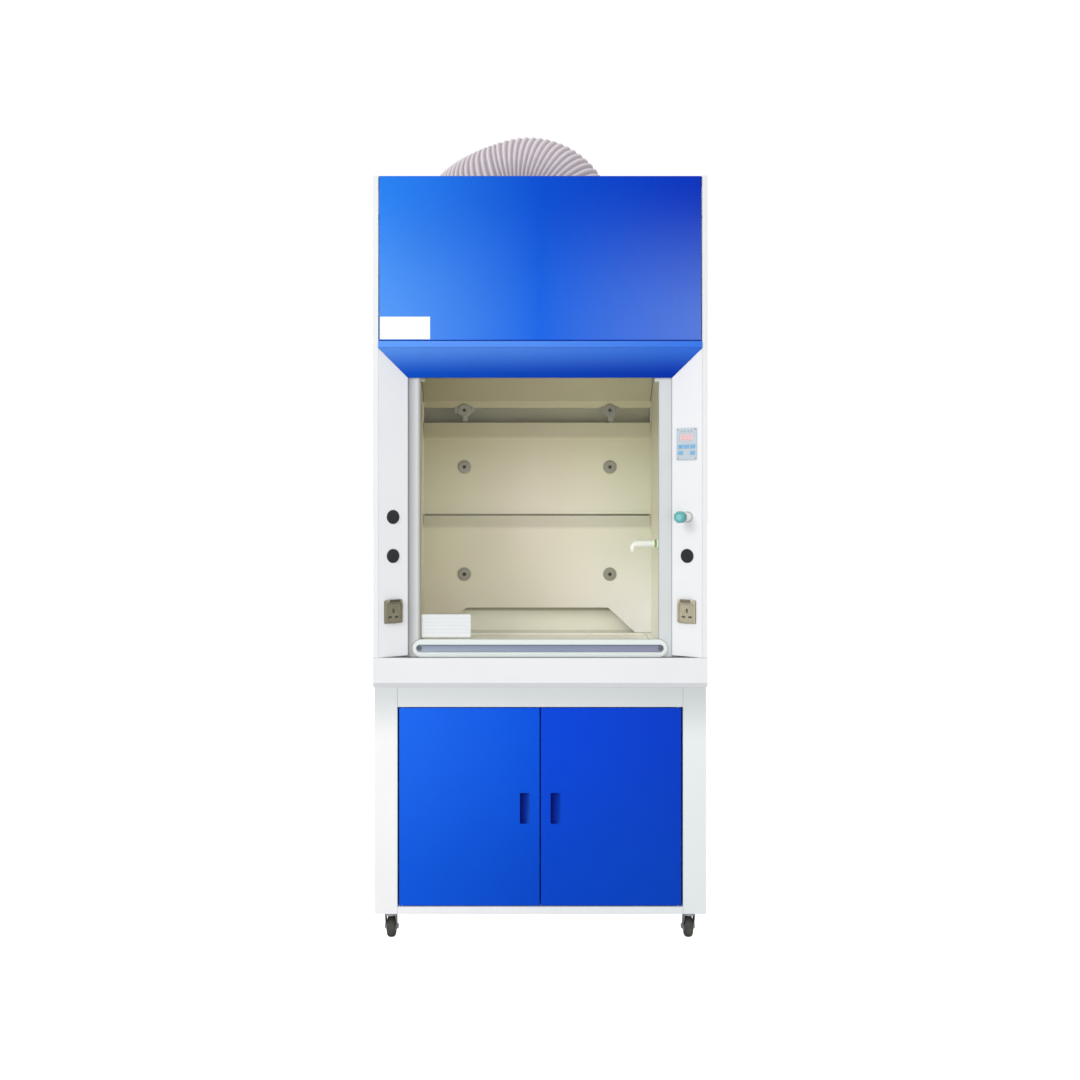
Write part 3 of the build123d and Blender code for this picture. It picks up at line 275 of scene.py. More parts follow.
# fourth value: position of the stop from left to right
# sash stiles: painted shade, dark at the left stile's outer edge by the column and again at its
# inner edge; the right stile evenly lit
STILE_SHADING_ROWS = [[(150, 150, 150, 0.0), (210, 212, 214, 0.035), (155, 150, 135, 0.046),
               (205, 208, 208, 0.3), (210, 214, 215, 1.0)]] * 2
# column fittings: painted shade, the left socket and its brown rim darker than the right's
SOCKET_SHADING_ROWS = [[(158, 153, 130), (212, 206, 186)]] * 2
HINGE_SHADING_ROWS = [[(84, 79, 66), (128, 118, 100)]] * 2
# door pull cups: painted shade, deep navy on the left of each cup, lighter up its right wall
PULL_LEFT_SHADING_ROWS = [[(0, 20, 115), (5, 35, 140), (25, 80, 200)],
                  [(0, 20, 120), (5, 40, 145), (30, 90, 205)]]
PULL_RIGHT_SHADING_ROWS = [[(0, 20, 115), (5, 35, 145), (15, 70, 195)],
                   [(0, 20, 120), (5, 40, 150), (20, 75, 200)]]
# base front frame: painted shadow under the sill's overhang, darker at the top, and lighter to the
# left
BASE_SHADING_ROWS = [[(210, 215, 215), (200, 205, 205)],
             [(245, 245, 245), (230, 235, 235)]]

# settings shared by families of finishes
WHITE_POWDER = dict(rough=0.42, mottle=0.02, grain=900, grain_depth=0.00003, edge=0.0012)
DOOR_POWDER = dict(rough=0.36, spec=0.08, grain=850, edge=0.001)
CREAM = dict(rough=0.5, grain=260, grain_depth=0.000012)
PULL = dict(rough=0.5, spec=0.05, mottle=0.08, mottle_scale=60)
# the fitting grids run across both columns, so the left fittings take the painted shade
COLUMN_FITTINGS = ((-0.45, 0.45), (1.1, 0.9))       # grid extents of both sockets
PULL_HEIGHTS = (0.46, 0.36)
DOOR_HEIGHTS = (0.712, 0.119)


# ------------------------------------------------------------------ materials
def make_paint():
    surface("powder_white", (0.80, 0.81, 0.825), spec=0.35, coat=0.08, **WHITE_POWDER)
    # the cover's grid paints its reflection, highlight and shade into the blue
    surface("powder_blue_cover", grid=((-0.4825, 0.4825), (2.305, 1.813), COVER_SHADING_ROWS),
            gain=0.93, sub=0.006, rough=0.34, spec=0.08, grain=850, edge=0.0012)
    # the two doors wear lit and shaded copies of the one blue paint
    surface("powder_blue_door_left", grid=((-0.423, -0.002), DOOR_HEIGHTS, DOOR_LEFT_SHADING_ROWS),
            sub=0.0065, **DOOR_POWDER)
    surface("powder_blue_door_right", grid=((0.002, 0.423), DOOR_HEIGHTS, DOOR_RIGHT_SHADING_ROWS),
            gain=1.03, sub=0.0115, **DOOR_POWDER)
    # the trim's grid paints the light on its lip and the shade on its bevel
    surface("powder_blue_trim", grid=((-0.484, 0.484), (1.812, 1.7075), TRIM_SHADING_ROWS),
            gain=1.09, sub=0.007, rough=0.36, spec=0.06, mottle=0.02, grain=850, edge=0.0012)


def make_cream():
    # the board grid paints the chamber's shade and light onto the boards
    surface("cream_board", grid=((-0.41, 0.41), (1.70, 0.86), BOARD_SHADING_ROWS), gain=1.12,
            mottle=0.05, mottle_scale=3.5, edge=0.0008, **CREAM)
    surface("cream_liner", srgb(224, 220, 198), mottle=0.06, mottle_scale=3.0, **CREAM)
    shade_board()
    shade_liner()


def base_color_source(tree):
    return principled(tree).inputs["Base Color"].links[0].from_socket


def shade_board():
    """Paint shade on the front lips of the baffle boards."""
    tree = MATERIALS["cream_board"].node_tree
    source = base_color_source(tree)
    # painted shade: the lips darken towards a deep brown
    lip = map_axis(tree, coords(tree), "Y", FRONT + 0.6696, FRONT + 0.667)
    lip = math_node(tree, "MULTIPLY", lip, 0.22)
    shaded = mix(tree, lip, source, (0.03, 0.027, 0.018))
    connect(tree, principled(tree), {"Base Color": shaded})


def shade_liner():
    """Paint light and shade on the liner over the back of the chamber and down its right side."""
    tree = MATERIALS["cream_liner"].node_tree

    def along(axis, start, end):
        return map_axis(tree, coords(tree), axis, start, end)

    def both(first, second):
        return math_node(tree, "MULTIPLY", first, second)

    color = base_color_source(tree)
    # painted shade on the upper back, darker on the left
    area_share = both(along("Y", FRONT + 0.70, FRONT + 0.744), along("Z", 1.32, 1.48))
    tone = mix(tree, along("X", -0.30, 0.38), srgb(158, 152, 128), srgb(212, 205, 172))
    color = mix(tree, area_share, color, tone)
    # painted light on the lower back
    area_share = both(along("Y", FRONT + 0.70, FRONT + 0.744), along("Z", 1.05, 0.90))
    color = mix(tree, area_share, color, srgb(248, 245, 230))
    # painted shadow in a band low on the back, behind the lower board's opening
    area_share = both(both(along("Z", 0.9275, 0.9355), along("Z", 1.10, 1.04)),
                      along("Y", FRONT + 0.70, FRONT + 0.735))
    color = mix(tree, area_share, color, srgb(176, 171, 150))
    # painted light on the lower right side
    area_share = both(along("X", 0.30, 0.40), along("Z", 1.30, 0.95))
    color = mix(tree, area_share, color, srgb(252, 253, 243))
    connect(tree, principled(tree), {"Base Color": color})


def make_chamber_parts():
    surface("resin_worktop", srgb(249, 247, 238), rough=0.34, coat=0.08, mottle=0.08,
            mottle_scale=40, grain=500)
    # the frame's grid paints shade stripes on the left stile
    surface("anodised_frame", grid=((-0.402, 0.402), (1.7, 0.9), STILE_SHADING_ROWS), rough=0.38,
            spec=0.35, grain=500, grain_depth=0.00003, stretch=(1, 1, 0.02))
    surface("grey_track", srgb(186, 184, 186), rough=0.5, mottle=0.05, edge=0.0004)
    surface("handle_white", srgb(226, 234, 231), rough=0.35, spec=0.4, coat=0.1, mottle=0.02,
            grain=500, edge=0.001)
    surface("white_plastic", srgb(236, 237, 234), rough=0.4, spec=0.4, grain=600)
    # the groove's grid paints shade along its top
    surface("groove_strip", grid=((-0.377, 0.377), (0.896, 0.872), GROOVE_SHADING_ROWS), rough=0.35,
            spec=0.4, mottle=0.04)


def make_metal_and_rubber():
    surface("galvanised", (0.52, 0.54, 0.55), rough=0.38, metal=0.85, spec=0.5, mottle=0.28,
            mottle_scale=45, grain=120, grain_depth=0.00003)
    surface("bright_zinc", (0.62, 0.62, 0.60), rough=0.25, metal=1.0, mottle=0.1,
            mottle_scale=60, grain=300)
    surface("black_plastic", srgb(36, 37, 40), rough=0.42, spec=0.4, mottle=0.1,
            mottle_scale=80, grain=1200, grain_depth=0.00008)
    surface("tyre_rubber", srgb(84, 83, 79), rough=0.75, spec=0.25, mottle=0.3,
            mottle_scale=60, grain_depth=0.0001)
    surface("fixing_grey", srgb(150, 147, 134), mottle=0.12, mottle_scale=40)
    # brown-black: painted shade in holes and openings, and the black of the sash seal
    surface("hole_shade_and_seal_black", srgb(40, 38, 34), rough=0.6, spec=0.2, mottle=0.1, mottle_scale=60)
    surface("cast_grey", (0.09, 0.095, 0.10), rough=0.6, metal=0.2, mottle=0.35,
            mottle_scale=30, grain=160, grain_depth=0.0003)
    surface("motor_enamel", (0.10, 0.16, 0.22), rough=0.4, spec=0.4, mottle=0.15,
            mottle_scale=30, grain=300, grain_depth=0.0001)


def make_fittings():
    surface("teal_cap", srgb(66, 156, 154), rough=0.3, spec=0.4, coat=0.3, mottle=0.08,
            mottle_scale=90)
    surface("teal_index", srgb(128, 204, 204), rough=0.25, spec=0.5, coat=0.4, mottle=0.05,
            mottle_scale=90)
    # socket beige, painted darker on the left socket as shade
    surface("socket_beige", grid=(*COLUMN_FITTINGS, SOCKET_SHADING_ROWS), rough=0.4, spec=0.35,
            mottle=0.08, mottle_scale=60)
    surface("panel_grey", srgb(196, 208, 216), grain=1500)
    surface("key_blue", srgb(138, 192, 230), rough=0.4, spec=0.35, mottle=0.05,
            mottle_scale=150)
    surface("key_mark", srgb(92, 156, 212), rough=0.5, mottle=0.05)
    surface("display_window", srgb(222, 210, 216), rough=0.15, spec=0.6, coat=0.5)
    surface("index_green", srgb(120, 170, 60), rough=0.4, mottle=0.05)
    surface("lamp_diffuser", (0.85, 0.85, 0.82), rough=0.5)
    surface("steel_rope", (0.45, 0.45, 0.44), rough=0.35, metal=0.9, mottle=0.2,
            mottle_scale=200)
    surface("cable_grey", srgb(70, 72, 76), rough=0.55, mottle=0.1, mottle_scale=60)
    # the pull cups wear painted shade over the blue, dark to the left, lighter to the right
    surface("pull_cup_shade_left", grid=((-0.061, -0.031), PULL_HEIGHTS, PULL_LEFT_SHADING_ROWS), **PULL)
    surface("pull_cup_shade_right", grid=((0.031, 0.061), PULL_HEIGHTS, PULL_RIGHT_SHADING_ROWS), **PULL)
    # columns: a lighter copy of the white powder coat, painted light
    surface("powder_white_column_lit", (0.855, 0.868, 0.885), spec=0.35, coat=0.05, **WHITE_POWDER)
    # white of the base, with the sill's painted shadow along its top
    surface("powder_white_base_shaded", grid=((-0.46, 0.46), (0.774, 0.60), BASE_SHADING_ROWS), coat=0.05,
            **WHITE_POWDER)
    surface("box_grey", srgb(205, 208, 208), mottle=0.05)
    clear_glass("sash_glass_clear", tint=(0.985, 0.993, 0.985), gloss=0.02)
    # spare finish, worn by no piece
    surface("glass_edge", srgb(128, 170, 150), rough=0.2, spec=0.5, mottle=0.1,
            mottle_scale=60)
    clear_glass("socket_flap_tint", tint=(0.965, 0.958, 0.935), gloss=0.08, cover=0.035,
                cover_color=(0.45, 0.43, 0.36))
    surface("screw_grey", srgb(122, 124, 132), rough=0.35, metal=0.3, mottle=0.1,
            mottle_scale=120)
    # brown rims and shutters, painted darker on the left socket as shade
    surface("hinge_brown", grid=(*COLUMN_FITTINGS, HINGE_SHADING_ROWS), rough=0.4, mottle=0.1,
            mottle_scale=80)


def make_segment_red():
    """Glowing display segments."""
    tree = new_material("segment_red")[1]
    speckle = noise(tree, coords(tree), 900, 2)
    color = mix(tree, speckle, srgb(226, 96, 92), srgb(238, 140, 132))
    connect(tree, principled(tree), {"Base Color": color, "Emission Color": color,
                                     "Emission Strength": 0.35})


def make_paper():
    """Paper label with faint ruled lines, and a blank one."""
    line_spacing = 0.0055       # half the distance between lines
    line_start = 0.0050
    tree = new_material("paper_label")[1]
    vector = coords(tree)
    height = add(tree, "SeparateXYZ", {0: vector}).outputs["Z"]
    wave = math_node(tree, "PINGPONG", height, line_spacing)
    lines = math_node(tree, "GREATER_THAN", wave, line_start)
    faint = math_node(tree, "MULTIPLY", lines, noise(tree, vector, 60, 3))
    color = mix(tree, faint, srgb(227, 230, 231), srgb(188, 196, 202))
    connect(tree, principled(tree), {"Base Color": color, "Roughness": 0.6})
    surface("blank_label", srgb(244, 246, 245), rough=0.55, mottle=0.015, grain=1500, edge=0)


def make_duct_membrane():
    """Spiral duct fabric: pale wire crests, lilac-grey membrane, some light passing through, and a
    painted glow near the top.
    """
    tree = new_material("duct_membrane")[1]
    crest = add(tree, "Attribute", attribute_name="crest").outputs["Fac"]
    vector = coords(tree)
    cloud = noise(tree, vector, 55, 5)
    membrane = mix(tree, cloud, srgb(170, 157, 165), srgb(200, 188, 197))
    color = mix(tree, crest, membrane, srgb(250, 244, 248))
    # painted light: emission brightens the fabric towards the top of the bend
    glow = math_node(tree, "MULTIPLY", map_axis(tree, vector, "Z", 2.26, 2.54), 0.105)
    bump = add(tree, "Bump", {"Distance": 0.0006, "Strength": 0.6, "Height": cloud})
    shader = principled(tree)
    connect(tree, shader, {
        "Base Color": color,
        "Roughness": 0.38,
        "Specular IOR Level": 0.45,
        "Sheen Weight": 0.15,
        "Emission Color": color,
        "Emission Strength": glow,
        "Normal": bump.outputs["Normal"],
    })
    translucent = add(tree, "BsdfTranslucent", {"Color": color})
    blend = add(tree, "MixShader", {0: 0.3, 1: shader.outputs[0], 2: translucent.outputs[0]})
    connect(tree, tree.nodes["Material Output"], {0: blend.outputs[0]})


# material: the frame's pieces that wear it
WORN_BY = {
    "powder_white": "base_carcass side_panel_left side_panel_right rear_panel front_sill",
    "powder_white_base_shaded": "base_front_frame",
    "powder_white_column_lit": "column_left column_right",
    "powder_blue_door_left": "door_left",
    "powder_blue_door_right": "door_right",
    "powder_blue_cover": "front_cover",
    "powder_blue_trim": "canopy_trim",
    "galvanised": "caster_plates fan_casing exhaust_plenum duct_cuff pulley_brackets "
                  "fan_impeller caster_fork_fl caster_fork_fr caster_fork_rl caster_fork_rr",
    "tyre_rubber": "caster_wheel_fl caster_wheel_fr caster_wheel_rl caster_wheel_rr",
    "cream_liner": "chamber_liner ceiling_panel",
    "cream_board": "baffle_lower baffle_middle baffle_upper",
    "resin_worktop": "worktop",
    "white_plastic": "cup_sink water_valve_body water_spout",
    "handle_white": "sash_handle",
    "black_plastic": "front_pulleys rear_pulleys blanking_plugs",
    "box_grey": "electrical_box",
    "fixing_grey": "baffle_fixings",
    "lamp_diffuser": "lamp",
    "anodised_frame": "sash_frame",
    "sash_glass_clear": "sash_glass",
    "grey_track": "sash_tracks",
    "bright_zinc": "hose_clamps",
    "cast_grey": "counterweights",
    "motor_enamel": "fan_motor",
    "teal_cap": "water_valve_knob",
    "socket_beige": "power_sockets",
    "socket_flap_tint": "socket_cover_left socket_cover_right",
    "panel_grey": "control_panel",
    "key_blue": "key_1 key_2 key_3 key_4 key_5",
    "duct_membrane": "exhaust_hose",
    "steel_rope": "sash_cables",
}


def dress_frame():
    """Give every piece of the frame its material."""
    material_of = {node: name for name, nodes in WORN_BY.items() for node in nodes.split()}
    for node, piece in NODES.items():
        material = MATERIALS[material_of[node]]
        if not piece.material_slots:
            piece.data.materials.append(material)
        for slot in piece.material_slots:
            slot.material = material


# ------------------------------------------------------------------ mesh helpers
# a mesh here is a pair: points, faces
def build(name, mesh, material, body=None):
    """Object from a mesh, welded and smooth-shaded, that rides on a body if one is given."""
    points, faces = mesh
    data = bpy.data.meshes.new(name)
    data.from_pydata([tuple(point) for point in points], [], faces)
    bm = bmesh.new()
    bm.from_mesh(data)
    bmesh.ops.remove_doubles(bm, verts=bm.verts, dist=1e-6)
    bmesh.ops.recalc_face_normals(bm, faces=bm.faces)
    bm.to_mesh(data)
    bm.free()
    piece = bpy.data.objects.new(name, data)
    bpy.context.scene.collection.objects.link(piece)
    data.materials.append(MATERIALS[material])
    for polygon in data.polygons:
        polygon.use_smooth = True
    data.set_sharp_from_angle(angle=math.radians(35))
    if body:
        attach(piece, body)
    return piece


def join(parts):
    points, faces = [], []
    for part_points, part_faces in parts:
        offset = len(points)
        points += list(part_points)
        faces += [tuple(i + offset for i in face) for face in part_faces]
    return points, faces


def loft(rings, ends="cap"):
    """Skin over rings of equal count; ends are "cap", "open" or "join" (last back to first)."""
    count = len(rings[0])
    points = [point for ring in rings for point in ring]
    starts = range(0, len(points), count)
    pairs = list(zip(starts, starts[1:]))
    if ends == "join":
        pairs.append((starts[-1], 0))
    faces = []
    for a, b in pairs:
        for i in range(count):
            j = (i + 1) % count
            faces.append((a + i, a + j, b + j, b + i))
    if ends == "cap":
        faces.append(tuple(reversed(range(count))))
        faces.append(tuple(range(starts[-1], len(points))))
    return points, faces


def basis(axis):
    z = Vector(axis).normalized()
    x = Vector((0, 0, 1)) if abs(z.z) < 0.9 else Vector((1, 0, 0))
    x = (x - z * x.dot(z)).normalized()
    return x, z.cross(x), z


def lathe_mesh(profile, origin, axis, segments=48, shape=None):
    """Turn (radius, height) points about an axis; shape(i, radius, angle) may alter a radius."""
    ex, ey, ez = basis(axis)
    origin = Vector(origin)
    points, faces, rings = [], [], []
    for i, (radius, height) in enumerate(profile):
        if radius < 1e-7:
            rings.append([len(points)])
            points.append(origin + ez * height)
            continue
        ring = []
        for k in range(segments):
            angle = 2 * math.pi * k / segments
            reach = shape(i, radius, angle) if shape else radius
            ring.append(len(points))
            around = ex * math.cos(angle) + ey * math.sin(angle)
            points.append(origin + ez * height + around * reach)
        rings.append(ring)
    for a, b in zip(rings, rings[1:]):
        if len(a) == 1 and len(b) == 1:
            continue
        for k in range(segments):
            k2 = (k + 1) % segments
            if len(a) == 1:
                faces.append((a[0], b[k], b[k2]))
            elif len(b) == 1:
                faces.append((a[k], a[k2], b[0]))
            else:
                faces.append((a[k], a[k2], b[k2], b[k]))
    return points, faces


def rounded_rect(width, height, radius, steps=5):
    """Closed outline, counter-clockwise from the right edge, each corner in steps."""
    x, y = width / 2 - radius, height / 2 - radius
    outline = []
    for cx, cy, start in ((x, y, 0), (-x, y, 90), (-x, -y, 180), (x, -y, 270)):
        for k in range(steps + 1):
            angle = math.radians(start + 90 * k / steps)
            outline.append((cx + radius * math.cos(angle), cy + radius * math.sin(angle)))
    return outline


def slab_mesh(outline, origin, depth, bevel=0, normal=FORWARD, up=UP):
    """Plate from a closed outline, rising by depth along normal, with a rounded front edge."""
    normal = Vector(normal).normalized()
    upward = Vector(up)
    upward = (upward - normal * upward.dot(normal)).normalized()
    across = upward.cross(normal)
    origin = Vector(origin)
    middle = [sum(point[axis] for point in outline) / len(outline) for axis in (0, 1)]
    half = [max(abs(point[axis] - middle[axis]) for point in outline) for axis in (0, 1)]
    layers = [(0.0, 0.0), (0.0, depth - bevel)]     # inset, height
    if bevel > 0:
        for k in range(1, 4):
            angle = math.pi / 2 * k / 3
            layers.append((bevel * (1 - math.cos(angle)),
                           depth - bevel + bevel * math.sin(angle)))
    rings = []
    for inset, height in layers:
        ring = []
        for point in outline:
            x, y = [middle[axis] + (point[axis] - middle[axis]) * (1 - inset / half[axis])
                    for axis in (0, 1)]
            ring.append(origin + across * x + upward * y + normal * height)
        rings.append(ring)
    return loft(rings)


def sweep_mesh(path, radius, segments, ends="cap"):
    """Round bar along a path; radius is a number or a function of ring index and angle."""
    path = [Vector(point) for point in path]
    last = len(path) - 1
    tangents = [(path[min(last, i + 1)] - path[max(0, i - 1)]).normalized()
                for i in range(len(path))]
    ex, ey, _ = basis(tangents[0])
    rings = []
    for i, point in enumerate(path):
        if i:
            # carry the ring round without twist
            axis = tangents[i - 1].cross(tangents[i])
            if axis.length > 1e-9:
                turn = tangents[i - 1].angle(tangents[i])
                rotation = Matrix.Rotation(turn, 3, axis.normalized())
                ex = rotation @ ex
                ey = rotation @ ey
        ring = []
        for k in range(segments):
            angle = 2 * math.pi * k / segments
            r = radius(i, angle) if callable(radius) else radius
            ring.append(point + ex * math.cos(angle) * r + ey * math.sin(angle) * r)
        rings.append(ring)
    return loft(rings, ends)


def tube_mesh(path, outer, inner, segments):
    """Pipe with a wall, between two radii as taken by sweep_mesh."""
    outer_points, faces = sweep_mesh(path, outer, segments, "open")
    inner_points, inner_faces = sweep_mesh(path, inner, segments, "open")
    offset = len(outer_points)
    faces += [tuple(reversed([i + offset for i in face])) for face in inner_faces]
    end = (len(path) - 1) * segments
    for k in range(segments):
        k2 = (k + 1) % segments
        faces.append((k, k + offset, k2 + offset, k2))
        faces.append((end + k, end + k2, end + k2 + offset, end + k + offset))
    return outer_points + inner_points, faces


def screw_mesh(origin, normal, radius, height):
    """Pan-head screw with a hexagonal socket."""
    def hexagon(i, reach, angle):
        if i >= 5:
            off_flat = (angle + math.pi / 6) % (math.pi / 3) - math.pi / 6
            return reach / math.cos(off_flat) * 0.94
        return reach

    profile = [(0, 0), (radius, 0), (radius, height * 0.35), (radius * 0.86, height * 0.8),
               (radius * 0.6, height), (radius * 0.46, height), (radius * 0.42, height * 0.25),
               (0, height * 0.2)]
    return lathe_mesh(profile, origin, normal, 24, hexagon)


def screws(name, places, normal, material, body, radius, height):
    parts = [screw_mesh(place, normal, radius, height) for place in places]
    build(name, join(parts), material, body)


def on_face(side, z, u=0.0, out=0.0):
    """Point on a column's bevelled face: u along it towards +X, out off its surface."""
    return Vector((side * FACE_X + BEVEL_COS * u - side * BEVEL_SIN * out,
                   FACE_Y - side * BEVEL_SIN * u - BEVEL_COS * out, z))


def face_normal(side):
    return Vector((-side * BEVEL_SIN, -BEVEL_COS, 0))


def face_slab(side, outline, origin, depth, bevel=0):
    return slab_mesh(outline, origin, depth, bevel, face_normal(side))


def face_frame(side, z, u, out, outer, inner, outer_rise, inner_rise):
    """Raised frame on a column face between two outlines."""
    rings = []
    for outline, rise in ((outer, 0.0), (outer, outer_rise), (inner, inner_rise), (inner, 0.0)):
        rings.append([on_face(side, z + py, u + px, out + rise) for px, py in outline])
    return loft(rings, "join")


# ------------------------------------------------------------------ exhaust duct
DUCT_X = 0.135              # centre of the foot on the fan
DUCT_Y = FRONT + 0.395
FOOT_RISE = 0.042           # straight part above the foot
BEND = 0.190                # radius of the bend over the top
HEADING = math.radians(15)  # the run leads left and this much to the back
DIP = math.radians(15)      # and slopes down by this
STRAIGHT = 0.015
BEND_TO_REAR = 0.230        # radius of the bend that turns it to the back
RING_STEP = 0.00115
DUCT_RADIUS = 0.1240
DUCT_WALL = 0.0016
DUCT_SEGMENTS = 96
WIRE_PITCH = 0.0150
WIRE_WIDTH = 0.0022


def duct_path(foot, end_y):
    """Centre line points, their total length, and the start of the last straight."""
    rise = foot + Vector((0, 0, FOOT_RISE))
    ahead = Vector((-math.cos(HEADING), math.sin(HEADING), 0))

    def over(angle):
        return (rise + ahead * (BEND * (1 - math.cos(angle)))
                + Vector((0, 0, BEND * math.sin(angle))))

    crest_end = over(math.pi / 2 + DIP)
    run = (ahead * math.cos(DIP) + Vector((0, 0, -math.sin(DIP)))).normalized()
    inward = (Vector((0, 1, 0)) - run * run.y).normalized()
    swing_angle = math.acos(run.y)

    def swing(angle):
        return (crest_end + run * STRAIGHT + inward * (BEND_TO_REAR * (1 - math.cos(angle)))
                + run * (BEND_TO_REAR * math.sin(angle)))

    tail = swing(swing_angle)
    tail_end = Vector((tail.x, end_y, tail.z))
    # length, point at a distance along
    stretches = [(FOOT_RISE, lambda s: foot + Vector((0, 0, s))),
                 (BEND * (math.pi / 2 + DIP), lambda s: over(s / BEND)),
                 (STRAIGHT, lambda s: crest_end + run * s),
                 (BEND_TO_REAR * swing_angle, lambda s: swing(s / BEND_TO_REAR)),
                 ((tail_end - tail).length, lambda s: tail + Vector((0, s, 0)))]
    total = sum(length for length, _ in stretches)
    steps = int(total / RING_STEP)
    path = []
    for i in range(steps + 1):
        s = total * i / steps
        for length, point_at in stretches:
            if s <= length + 1e-9:
                path.append(point_at(s))
                break
            s -= length
        else:
            path.append(tail_end.copy())
    return path, total, tail


def build_duct():
    """Spiral hose; returns the centre of its foot and the start of its last straight."""
    hose_low, hose_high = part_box("exhaust_hose")
    foot = Vector((DUCT_X, DUCT_Y, hose_low[2]))
    path, total, tail = duct_path(foot, hose_high[1])
    step = total / (len(path) - 1)

    def rib(i, angle):
        """Wire crest 0..1, fade to plain at the hose ends, and distance from the wire."""
        s = i * step
        phase = (s / WIRE_PITCH - angle / (2 * math.pi)) % 1.0
        distance = min(phase, 1 - phase) * WIRE_PITCH
        crest = math.exp(-(distance / WIRE_WIDTH) ** 2)
        fade_in = min(1.0, max(0.0, (s - 0.024) / 0.012))
        fade_out = min(1.0, max(0.0, (total - s - 0.036) / 0.012))
        return crest, fade_in * fade_out, distance

    def outer(i, angle):
        crest, fade, distance = rib(i, angle)
        wave = math.cos(2 * math.pi * (distance / WIRE_PITCH))
        sag = -0.0030 * (1 - crest) * (1 - 0.35 * wave)
        ripple = (0.0005 * math.sin(7 * angle + i * 0.05) * math.sin(3 * angle - i * 0.011)
                  * (1 - crest))
        return DUCT_RADIUS + fade * (sag + ripple + 0.0012 * crest)

    def inner(i, angle):
        return outer(i, angle) - DUCT_WALL

    def wire_and_highlight_share(i, angle):
        """Share of the pale crest colour: the pale wire, spread wide over each crest as a painted
        highlight.
        """
        crest, fade, distance = rib(i, angle)
        wide = (0.5 + 0.5 * math.cos(2 * math.pi * distance / WIRE_PITCH)) ** 1.1
        return min(1.0, max(wide, crest) * fade + (1 - fade) * 0.35)

    points, faces = tube_mesh(path, outer, inner, DUCT_SEGMENTS)
    data = bpy.data.meshes.new("duct_spiral")
    data.from_pydata([tuple(point) for point in points], [], faces)
    crests = [wire_and_highlight_share(i, 2 * math.pi * k / DUCT_SEGMENTS)
              for i in range(len(path)) for k in range(DUCT_SEGMENTS)]
    # the same values for the outer and the inner skin
    data.attributes.new("crest", "FLOAT", "POINT").data.foreach_set("value", crests * 2)
    for polygon in data.polygons:
        polygon.use_smooth = True
    data.materials.append(MATERIALS["duct_membrane"])
    duct = bpy.data.objects.new("duct_spiral", data)
    bpy.context.scene.collection.objects.link(duct)
    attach(duct, "cabinet")
    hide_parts("exhaust_hose")
    return foot, tail


# ------------------------------------------------------------------ sash cables
CABLE_X = 0.375
LUG_Z = 1.675
PULLEY_Z = 2.25
PULLEY_RADIUS = 0.025
FRONT_PULLEY_Y = FRONT + 0.121
REAR_PULLEY_Y = FRONT + 0.745


def rope_radius(i, angle):
    """Six strands, twisting from ring to ring."""
    return 0.00125 + 0.00016 * math.cos(6 * (angle + 0.35 * i))


def rope(name, path, body=None):
    return build(name, sweep_mesh(path, rope_radius, 12), "steel_rope", body)


def quarter_turn(x, pulley_y, start):
    """Path over a quarter of a pulley, clockwise seen from +X."""
    angles = [start - math.pi / 2 * k / 12 for k in range(13)]
    return [(x, pulley_y + PULLEY_RADIUS * math.cos(angle),
             PULLEY_Z + PULLEY_RADIUS * math.sin(angle)) for angle in angles]


def build_cables():
    weight_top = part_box("counterweights")[1][2]
    front_y = FRONT_PULLEY_Y - PULLEY_RADIUS
    rear_y = REAR_PULLEY_Y + PULLEY_RADIUS
    for side, tag in SIDES:
        x = side * CABLE_X
        # from the sash lug up to the front pulley
        path = [(x, front_y, LUG_Z - 0.002 + (PULLEY_Z - LUG_Z + 0.002) * i / 300)
                for i in range(301)]
        rise = rope("cable_rise_" + tag, path)
        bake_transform(rise)
        # over both pulleys
        path = quarter_turn(x, FRONT_PULLEY_Y, math.pi)
        path += [(x, FRONT_PULLEY_Y + (REAR_PULLEY_Y - FRONT_PULLEY_Y) * k / 200,
                  PULLEY_Z + PULLEY_RADIUS) for k in range(1, 200)]
        path += quarter_turn(x, REAR_PULLEY_Y, math.pi / 2)
        run = rope("cable_run_" + tag, path, "cabinet")
        # down to the counterweight
        foot_z = weight_top - 0.03
        path = [(x, rear_y, foot_z + (PULLEY_Z - foot_z) * i / 60) for i in range(61)]
        drop = rope("cable_drop_" + tag, path)
        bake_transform(drop)
        # crimped ferrule under the lug
        profile = [(0, 0), (0.0036, 0), (0.0036, 0.009), (0.003, 0.011), (0, 0.011)]
        build("ferrule_lug_" + tag,
              lathe_mesh(profile, (x, front_y, LUG_Z - 0.0115), UP, 20), "bright_zinc", "sash")
    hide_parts("sash_cables")


# ------------------------------------------------------------------ labels
def build_labels():
    glass_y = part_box("sash_glass")[0][1]
    build("sash_label",
          slab_mesh(rounded_rect(0.150, 0.070, 0.002), (-0.2865, glass_y - 0.0001, 0.951),
                    0.0004), "paper_label", "sash")
    cover_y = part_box("front_cover")[0][1]
    build("cover_label",
          slab_mesh(rounded_rect(0.150, 0.0675, 0.001), (-0.4045, cover_y - 0.00005, 1.8495),
                    0.0004), "blank_label", "cabinet")


# ------------------------------------------------------------------ sash
# section of the stile strip: x from the middle, depth behind FRONT
FACING_SECTION = [
    (0.4010, 0.0663), (0.3650, 0.0663), (0.3636, 0.0668), (0.3632, 0.0680), (0.3632, 0.0699),
    (0.3641, 0.0699), (0.3641, 0.0684), (0.3645, 0.0672), (0.4010, 0.0672)]
FACING_BOTTOM = 0.9125
FACING_TOP = 1.7345
